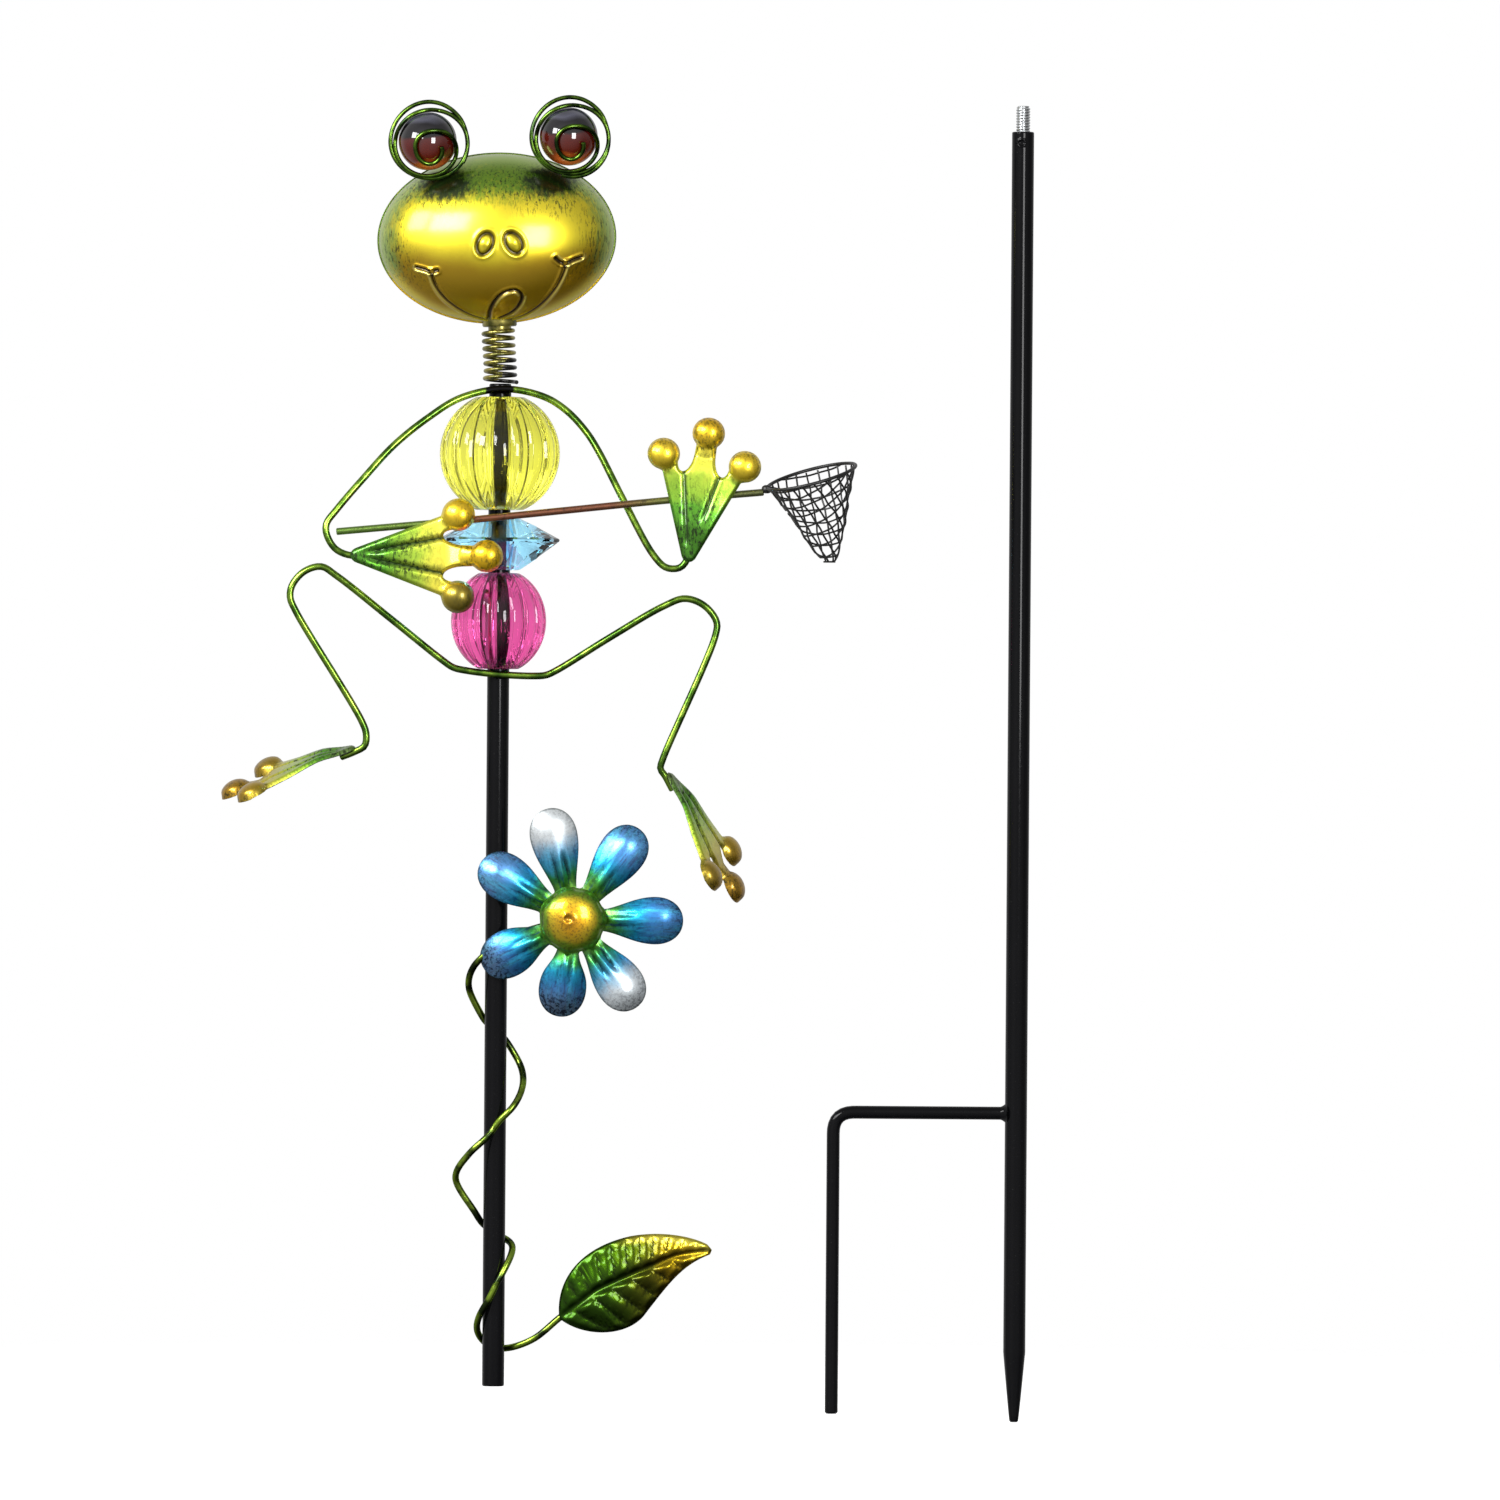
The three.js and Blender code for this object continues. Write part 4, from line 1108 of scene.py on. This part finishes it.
def melon_bead(name, node, bottom, height, radius, end_radius, turn, look):
    """A ribbed ellipsoid with flat ends and a hole through it."""
    ribs, steps, rows, groove_depth = 18, 20, 56, 0.06
    half = height / 2
    reach = half / math.sqrt(1 - (end_radius / radius) ** 2)
    bore = TUBE_RADIUS + 0.35
    sides = ribs * steps
    angle = circle(sides) - math.pi / 2
    # The lobes are nearly flat across, with a narrow groove between each two.
    lobe = (ribs * (circle(sides) - math.radians(turn)) / (2 * math.pi) + 0.5) % 1 * 2 - 1
    groove = 0.35 * lobe ** 2 + 0.65 * bump(1 - np.abs(lobe), 0, 0.2)
    levels = -half * np.cos(math.pi * np.linspace(0.03, 0.97, rows))
    outer = radius * np.sqrt(1 - (levels / reach) ** 2)
    depth = groove_depth * smoothstep(0.35, 0.7, outer / radius)
    outer = outer[:, None] * (1 - depth[:, None] * groove)
    hole = np.array([[bore], [bore + 0.5]]) * np.ones(sides)
    radii = np.vstack([hole, 0.9 * outer[:1], outer, 0.9 * outer[-1:], hole[::-1]])
    end = [0.6 - half, -half, 0.02 - half]
    heights = np.concatenate([end, levels, -np.array(end[::-1])]) + bottom + half
    piece(name, [skin(rings_about(radii, heights[:, None], angle), loop=True)], look, node, [node])


def disc_bead(look):
    """A twelve-sided cut bead: kite facets above and below the rim, round a hole."""
    bore = TUBE_RADIUS + 1.3
    rim_radius, middle, hub = 26.0, 16.5, 9.2
    rim, low, high = 363.8, 350.9, 373.2
    facets = 12
    across = middle * math.cos(math.pi / facets)
    share = (across - hub) / (rim_radius - hub)
    low_middle = low + (rim - 0.6 - low) * share
    high_middle = high + (rim + 0.6 - high) * share
    # Each ring is (radius at the rim's corners, radius between them, height at the corners, and between).
    rings = np.array([
        (bore, bore, high - 0.5, high - 0.5),
        (bore, bore, low + 0.5, low + 0.5),
        (bore + 0.5, bore + 0.5, low, low),
        (hub - 1.0, hub - 1.2, low, low),
        (hub, middle, low + 0.3, low_middle),
        (rim_radius - 0.3, rim_radius * 0.93, rim - 0.6, rim - 0.9),
        (rim_radius, rim_radius * 0.94, rim, rim),
        (rim_radius - 0.3, rim_radius * 0.93, rim + 0.6, rim + 0.9),
        (hub, middle, high - 0.3, high_middle),
        (hub - 1.0, hub - 1.2, high, high),
        (bore + 0.5, bore + 0.5, high, high),
    ])
    radii, heights = np.tile(rings[:, :2], facets), np.tile(rings[:, 2:], facets)
    solid = skin(rings_about(radii, heights, circle(2 * facets)), loop=True)
    piece("cut_disc", [solid], look, "disc_bead", ["disc_bead"], crease=8)


def make_beads():
    yellow = clear_acrylic("yellow_acrylic", (0.78, 0.77, 0.09), (0.7, 0.68, 0.06))
    blue = clear_acrylic("blue_acrylic", (0.34, 0.72, 0.92), (0.28, 0.66, 0.9))
    pink = clear_acrylic("pink_acrylic", (0.72, 0.1, 0.34), (0.64, 0.07, 0.28))
    melon_bead("yellow_melon", "upper_bead", 376.7, 48.6, 26, 10, 2, yellow)
    melon_bead("pink_melon", "lower_bead", 308.3, 41.3, 20.5, 8.5, 6, pink)
    disc_bead(blue)


# ---------- neck ----------

SPRING_BOTTOM, SPRING_TOP = 430.8, 455.6
SPRING_RADIUS, SPRING_WIRE = 6.4, 0.88
SPRING_TURNS = 7.25
SPRING_LEAN = -1.1


def make_neck(look):
    """The spring, in two halves that meet at the height about which the head rocks."""
    low, high = SPRING_BOTTOM + SPRING_WIRE, SPRING_TOP - SPRING_WIRE
    steps = 36
    t = np.linspace(0, 1, int(SPRING_TURNS * steps))
    angle = 2 * math.pi * SPRING_TURNS * t
    height = low + (high - low) * t
    radius = SPRING_RADIUS * (1 + 0.1 * bump(t, 0.02, 0.06))
    lean = SPRING_LEAN * smoothstep(0.1, 1.0, t)
    path = np.stack([radius * np.cos(angle) + lean, radius * np.sin(angle), height], 1)
    split = int(np.argmin(np.abs(height - NECK_PIVOT)))
    foot, pivot, crown = (tuple((FIGURE + [0, 0, z]) / 1000) for z in (SPRING_BOTTOM, NECK_PIVOT, SPRING_TOP))
    for name, part, replaced, below, above, start, end in (
            ("spring_lower_turns", path[:split + 1], ["neck_spring"], "figure", "neck", foot, pivot),
            ("spring_upper_turns", path[split:], [], "neck", "head", pivot, crown)):
        points, faces, values = wire(part, SPRING_WIRE, rounding=0.12)
        x, y, z = points.T
        dark = smoothstep(449, 436, z) * smoothstep(-3, 5, x) + smoothstep(434, 431, z)
        values["dark"] = np.clip(dark, 0, 1)
        made = piece(name, [(points, faces, values)], look, None, replaced)
        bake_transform(made)


def make_collar(look):
    """The stub under the head: a flared ring on the head's underside and a spigot inside the spring."""
    profile = [
        (0, 452.6), (4.6, 452.6), (4.95, 453.2), (4.95, 455.5), (7.0, 455.6), (7.4, 456.1), (7.45, 457.4),
        (8.0, 459.6), (5.6, 460.8), (0, 460.4),
    ]
    points, faces, values = turned(profile, 48)
    # Its top follows the curve of the head.
    x, y, z = points.T
    points[:, 2] = np.where(z > 459, z + 5.6 * (x / 50) ** 2, z)
    piece("neck_stub", [(points, faces, values)], look, "head", ["neck_collar"], in_head)


# ---------- head ----------

def on_head(points):
    """Points on the front of the head from their (x, z) as seen from the front, about the head's centre."""
    x, z = np.asarray(points, float).T
    a, b, c = HEAD_HALF
    return np.stack([x, -b * np.sqrt(np.clip(1 - (x / a) ** 2 - (z / c) ** 2, 0.0009, 1)), z], 1)


SMILE = [
    (-28.4, -14.2), (-26.6, -20.2), (-22.2, -26.4), (-14.6, -31.8), (-5, -34.9), (6.9, -34.8), (16.4, -30.9),
    (23.0, -25.0), (27.2, -18.8), (29.8, -12.5),
]
MOUTH_CORNERS = [
    [(-34.4, -12.2), (-31.2, -13.2), (-28.4, -14.2), (-25.6, -13.8)],
    [(25.4, -10.3), (27.4, -12.0), (29.8, -12.5), (32.8, -11.2), (36.2, -10.0)],
]
TONGUE = [
    (-4.4, -34.8), (-3.4, -30.8), (-0.2, -26.2), (4.2, -23.7), (8.2, -23.6), (10.4, -25.8), (9.0, -29.4),
    (5.2, -32.6), (0.8, -34.4),
]
NOSTRILS = [((-4.7, -3.2), 25), ((7.6, -3.2), -30)]
PRESS_WIDTH = 0.75
# Each line of the mouth, how deep it is pressed, and how high the ridge beside it is.
MOUTH = [(SMILE, 1.1, 0.35), *((corner, 0.95, 0.35) for corner in MOUTH_CORNERS), (TONGUE, 0.85, 0.22)]


def face_relief(points):
    """How far the face's pressed lines push the surface out, how dark they are painted as shade in the
    groove, and how bright they are painted as a highlight beside them.
    """
    push, dark, bright = np.zeros((3, len(points)))
    width = PRESS_WIDTH
    for line, depth, lip in MOUTH:
        line = on_head(through(line, 0.8))
        away = distance_to_line(points, line)
        # A painted highlight lies on the ridge below and outside the line.
        below = distance_to_line(points, line * [1.03, 1, 1.03]) < away
        bright = np.maximum(bright, below * bump(away, 1.75 * width, 0.6 * width))
        push = push + lip * bump(away, 1.9 * width, 0.8 * width) - depth * bump(away, 0, width)
        # Painted shade darkens the groove.
        dark = np.maximum(dark, 1.8 * bump(away, 0, 0.95 * width))
    for (x, z), lean in NOSTRILS:
        angle = np.linspace(0, 2 * math.pi, 40)
        across, up = rotated(3.2 * np.cos(angle), 4.8 * np.sin(angle), -math.radians(lean))
        away = distance_to_line(points, on_head(np.stack([x + across, z + up], 1)))
        middle = np.linalg.norm(points - on_head([(x, z)]), axis=1)
        push = push + 0.25 * bump(away, 1.7, 0.8) * (middle > 4) - 1.05 * bump(away, 0, 0.85)
        push = push + 0.7 * bump(middle, 0, 2.4)
        # Painted shade darkens the nostril's groove.
        dark = np.maximum(dark, 1.5 * bump(away, 0, 0.8))
    # The tongue is a little pillow inside its outline.
    inside = np.hypot(points[:, 0] - 4.4, points[:, 2] + 28.6) / 5.0
    push = push + 0.5 * smoothstep(1.0, 0.2, inside)
    return np.where(points[:, 1] < -2, [push, np.minimum(dark, 1), bright], 0)


def head_paint(points):
    """Where the head's colours go: each value is 0 away from its patch and 1 in the middle of it."""
    x, y, z = points.T
    a, b, c = HEAD_HALF
    rim = np.hypot(x / a, z / c)
    front = smoothstep(3, -6, y)
    left = smoothstep(1.6, 0.35, np.hypot((x + 21) / 13, (z - 22.5) / 7.0))
    right = smoothstep(1.6, 0.35, np.hypot((x - 24) / 12.5, (z - 23) / 7.0))
    # Dry-brushed streaks hang below the eyes, over the brow and along both sides.
    hang = smoothstep(1.5, 0.2, np.hypot((np.abs(x) - 23) / 16, (z - 16) / 10))
    crown = 0.85 * smoothstep(10, 19, z) * smoothstep(34, 26, z)
    flank = smoothstep(0.62, 0.84, rim) * smoothstep(1.02, 0.93, rim) * smoothstep(24, 6, np.abs(z + 3))
    streaks = np.maximum.reduce([hang, crown, np.where(x < 0, 0.9, 0.75) * flank])
    return {
        "rim": np.clip(rim, 0, 1),
        "smudge": np.maximum(left, right) * front,
        "streaks": streaks * (0.35 + 0.65 * front),
        "green": np.maximum(smoothstep(5, 27, z), 0.95 * smoothstep(0.7, 0.98, rim) * smoothstep(-28, -6, z)),
        "brown": smoothstep(2, -17, z + 3.5 * np.cos(x / 14)) * smoothstep(1.04, 0.86, rim),
    }


# The seam where the half shells meet: how far out and how far from the middle each of its lines is.
SEAM = [(0.45, 0.8), (0.6, 0.5), (0.5, 0.18), (-1.0, 0.18)]
SHELL = 1.0
DENT = 0.12


def make_front_shell(look):
    a, b, c = HEAD_HALF
    # The grid is square lines laid over half an ellipsoid, close together where the face is.
    face_side, face_top = 0.55, 0.1
    right = np.linspace(face_side, 1, 16)[1:]
    s = np.concatenate([-right[::-1], np.linspace(-face_side, face_side, 200), right])
    t = np.concatenate([np.linspace(-1, face_top, 140), np.linspace(face_top, 1, 44)[1:]])
    s, t = np.meshgrid(s, t, indexing="ij")
    flat_x, flat_z = s * np.sqrt(1 - t * t / 2), t * np.sqrt(1 - s * s / 2)
    reach = np.clip(np.hypot(flat_x, flat_z), 1e-9, 1)
    tilt = reach * math.pi / 2
    grid = np.stack([np.sin(tilt) * flat_x / reach, -np.cos(tilt), np.sin(tilt) * flat_z / reach], -1)
    outer = grid.reshape(-1, 3) * HEAD_HALF
    push, dark, bright = face_relief(outer)
    push = push + DENT * wobble(1, outer[:, 0] / 9, outer[:, 2] / 9) * smoothstep(0.99, 0.8, reach.ravel())
    outer = outer + unit(outer / HEAD_HALF ** 2) * push[:, None]
    index = np.arange(len(outer)).reshape(s.shape)
    faces = np.stack([index[:-1, :-1], index[1:, :-1], index[1:, 1:], index[:-1, 1:]], -1)
    faces = faces.reshape(-1, 4).tolist()
    border = np.concatenate([index[:-1, 0], index[-1, :-1], index[:0:-1, -1], index[0, :0:-1]])
    edge = outer[border] * [1, 0, 1]
    outward = unit(edge)
    inner = edge - outward * SHELL
    depth = b - SHELL
    rings = [edge + outward * out - [0, y, 0] for out, y in SEAM]
    for tilt in math.pi / 2 * (1 - np.arange(1, 12) / 12):
        rings.append(inner * math.sin(tilt) - [0, depth * math.cos(tilt), 0])
    rings = np.array(rings)
    every = np.vstack([outer, rings.reshape(-1, 3), [[0, -depth, 0]]])
    rows = [border, *(len(outer) + np.arange(rings[..., 0].size).reshape(rings.shape[:2]))]
    for here, there in zip(rows[:-1], rows[1:]):
        faces += np.stack([here, np.roll(here, -1), np.roll(there, -1), there], 1).tolist()
    faces += [[i, j, len(every) - 1] for i, j in zip(rows[-1], np.roll(rows[-1], -1))]
    plain = (0, len(every) - len(outer))
    # The crease value is painted shade in the pressed lines, and the lip value is a painted highlight beside
    # them.
    values = {"crease": np.pad(dark, plain), "lip": np.pad(bright, plain), **head_paint(every)}
    piece("face_shell", [(every + HEAD_CENTRE, faces, values)], look, "head", ["head_front_shell"], in_head,
          crease=60)


def make_back_shell(look):
    a, b, c = HEAD_HALF
    around = circle(160)
    tilts = np.linspace(math.pi / 2, 0, 40)[1:-1]
    mean = 44

    def oval(wide, tall, y):
        return np.stack([wide * np.cos(around), np.full(len(around), y), tall * np.sin(around)], 1)

    outside = [oval(a * math.sin(t), c * math.sin(t), b * math.cos(t)) for t in tilts]
    seam = [oval(a * (1 + out / mean), c * (1 + out / mean), y) for out, y in SEAM]
    inside = [oval((a - SHELL) * math.sin(t), (c - SHELL) * math.sin(t), (b - SHELL) * math.cos(t))
              for t in tilts[1::3]]
    rings = np.array(inside[::-1] + seam[::-1] + outside)
    rings += DENT * wobble(6, rings[..., 0] / 9, rings[..., 2] / 9)[..., None] * rings / 60
    points, faces, _ = skin(rings)
    solid = points + HEAD_CENTRE, faces, head_paint(points)
    piece("back_shell", [solid], look, "head", ["head_back_shell"], in_head, crease=60)


# ---------- eyes ----------

MARBLE_RADIUS = 12.5
EYE_WIRE = 0.95
MARBLES = {"left": (-28, -16, 535.6), "right": (32.5, -16, 535.6)}
# Each station of an eye's wire is (turn in degrees, radius), clockwise from the right as seen in front.
CAGE = [
    (10, 4.7), (99, 7.9), (180, 6.7), (279, 6.3), (360, 10.6), (454, 12.6), (547, 15.7), (623, 15.6),
    (691, 16), (816, 13.6), (913, 17.9), (984, 19.3), (1033, 17.4), (1064, 15.8),
]
CAGE_END = {"left": (1110, 15), "right": (1190, 14.8)}
CAGE_OFFSET = (1.6, -2.4)
CAGE_FRONT, CAGE_PITCH = 4.5, 2.4


def cage_path(side):
    scale = np.array([0.06, 1])
    turn, radius = (through([*CAGE, CAGE_END[side]] * scale, 0.25) / scale).T
    x = CAGE_OFFSET[0] + radius * np.cos(np.radians(-turn))
    z = CAGE_OFFSET[1] + radius * np.sin(np.radians(-turn))
    # The wire lies on the marble in front, and then winds back round it.
    contact = MARBLE_RADIUS + EYE_WIRE + 0.3
    touching = np.sqrt(np.clip(contact ** 2 - x ** 2 - z ** 2, 0, None))
    level = CAGE_FRONT - CAGE_PITCH * turn / 360
    share = np.clip(0.5 + 0.25 * (touching - level), 0, 1)
    front = level + (touching - level) * share + share * (1 - share)
    return evenly(np.stack([x, -front, z], 1) + MARBLES[side], 0.9)


def make_eyes():
    glass = amber_glass()
    green = wire_green("eye_green", "green_lacquer", (0.012, 0.035, 0.003), (0.1, 0.2, 0.015))
    tilt = np.linspace(0, math.pi, 49)[1:-1, None]
    points, faces, _ = skin(rings_about(np.sin(tilt), -np.cos(tilt), circle(72)))
    points[-2:] = [(0, 0, -1), (0, 0, 1)]
    for side, centre in MARBLES.items():
        ball = points * MARBLE_RADIUS + centre, faces, {"rise": points[:, 2]}
        piece(f"{side}_glass_marble", [ball], glass, "head", [f"{side}_marble"], in_head)
        piece(f"{side}_eye_spiral", [wire(cage_path(side), EYE_WIRE)], green, "head", [f"{side}_eye_cage"],
              in_head)


# ---------- the object ----------

make_stake_tube()
make_stud()
make_prong()
make_pole()
make_socket()
make_limbs()
make_hands()
make_net()
make_vine()
make_leaf()
make_flower()
make_beads()
SPRING_LOOK = spring_lacquer()
make_neck(SPRING_LOOK)
make_collar(SPRING_LOOK)
HEAD_LOOK = head_lacquer()
make_front_shell(HEAD_LOOK)
make_back_shell(HEAD_LOOK)
make_eyes()


# ---------- stage, light and camera ----------

LOOK_AT = Vector((-0.1155, 0, 0.2881))
WHITE = (1, 1, 1)


def make_floor():
    """A pale round floor that fades out before its edge."""
    work = bmesh.new()
    bmesh.ops.create_circle(work, cap_ends=True, segments=96, radius=1.6)
    mesh = bpy.data.meshes.new("floor")
    work.to_mesh(mesh)
    work.free()
    floor = bpy.data.objects.new("floor", mesh)
    bpy.context.scene.collection.objects.link(floor)
    floor.location = (LOOK_AT.x, 0, -0.0005)
    look = Look("pale_floor", roughness=0.7, emission_color=WHITE, emission_strength=0.45)
    look.set("Base Color", look.mix(look.noise(0.002), (0.86, 0.86, 0.86), (0.9, 0.9, 0.895)))
    away = look.node("ShaderNodeVectorMath", {0: look.position}, "Value", operation="LENGTH")
    look.set("Alpha", away.rise(0.85, 0.3))
    mesh.materials.append(look.material)
    floor.visible_glossy = False


def soft_light(name, direction, distance, wide, tall, power):
    lamp = bpy.data.lights.new(name, "AREA")
    lamp.shape = "RECTANGLE"
    lamp.size = wide
    lamp.size_y = tall
    lamp.energy = power
    made = bpy.data.objects.new(name, lamp)
    bpy.context.scene.collection.objects.link(made)
    direction = Vector(direction).normalized()
    made.location = LOOK_AT + direction * distance
    made.rotation_euler = direction.to_track_quat("Z", "Y").to_euler()


def make_world():
    """A dim room, which is plain white where the camera sees it."""
    world = bpy.data.worlds.new("studio")
    bpy.context.scene.world = world
    world.use_nodes = True
    world.node_tree.nodes.clear()
    nodes = Nodes(world.node_tree)
    place = nodes.node("ShaderNodeTexCoord", output="Generated")
    through_beads = nodes.node("ShaderNodeLightPath", output="Is Transmission Ray")
    brightness = 0.0
    # Each entry is an axis, where its share starts and ends, the brightness at both, and how much of it
    # shows in reflections. A white table lies behind, and only beads show the white wall on the right. A
    # window's light comes from the left, and more from the front and above.
    for axis, low, high, dim, bright, reflected in (
            ("Y", 0.05, 0.6, 0.0, 0.85, 0.3), ("Y", -0.3, -0.95, 0.0, 0.3, 1.0),
            ("X", 0.0, -0.8, 0.0, 0.22, 1.0), ("X", 0.2, 0.9, 0.0, 0.4, 0.0),
            ("Z", -0.55, 0.3, 0.02, 0.34, 1.0)):
        share = nodes.node("ShaderNodeSeparateXYZ", {0: place}, axis).rise(low, high, dim, bright)
        brightness = share * (through_beads * (1 - reflected) + reflected) + brightness
    around = nodes.node("ShaderNodeBackground", {"Color": WHITE, "Strength": brightness})
    seen = nodes.node("ShaderNodeBackground", {"Color": WHITE})
    camera = nodes.node("ShaderNodeLightPath", output="Is Camera Ray")
    output = world.node_tree.nodes.new("ShaderNodeOutputWorld")
    nodes.feed(output.inputs[0], nodes.node("ShaderNodeMixShader", {0: camera, 1: around, 2: seen}))


def make_camera():
    away, width, turn = 6.0, 0.645, math.radians(0.42)
    data = bpy.data.cameras.new("camera")
    data.sensor_width = 36
    data.lens = data.sensor_width * away / width
    made = bpy.data.objects.new("camera", data)
    bpy.context.scene.collection.objects.link(made)
    # It is turned a little, so that the poles' tops lean to the right.
    place = Matrix.Translation(LOOK_AT - Vector((0, away, 0)))
    upright = Matrix.Rotation(math.pi / 2, 4, "X")
    roll = Matrix.Rotation(turn, 4, "Z")
    made.matrix_world = place @ upright @ roll
    bpy.context.scene.camera = made


bpy.context.scene.view_settings.view_transform = "Standard"
make_floor()
soft_light("window", (-0.50, -0.75, 0.43), 1.43, 0.55, 0.4, 13)
soft_light("lamp", (0.3, -0.93, 0.2), 1.3, 0.34, 0.5, 8)
soft_light("doorway", (-0.76, -0.46, 0.46), 1.4, 0.4, 0.4, 6.5)
make_world()
make_camera()
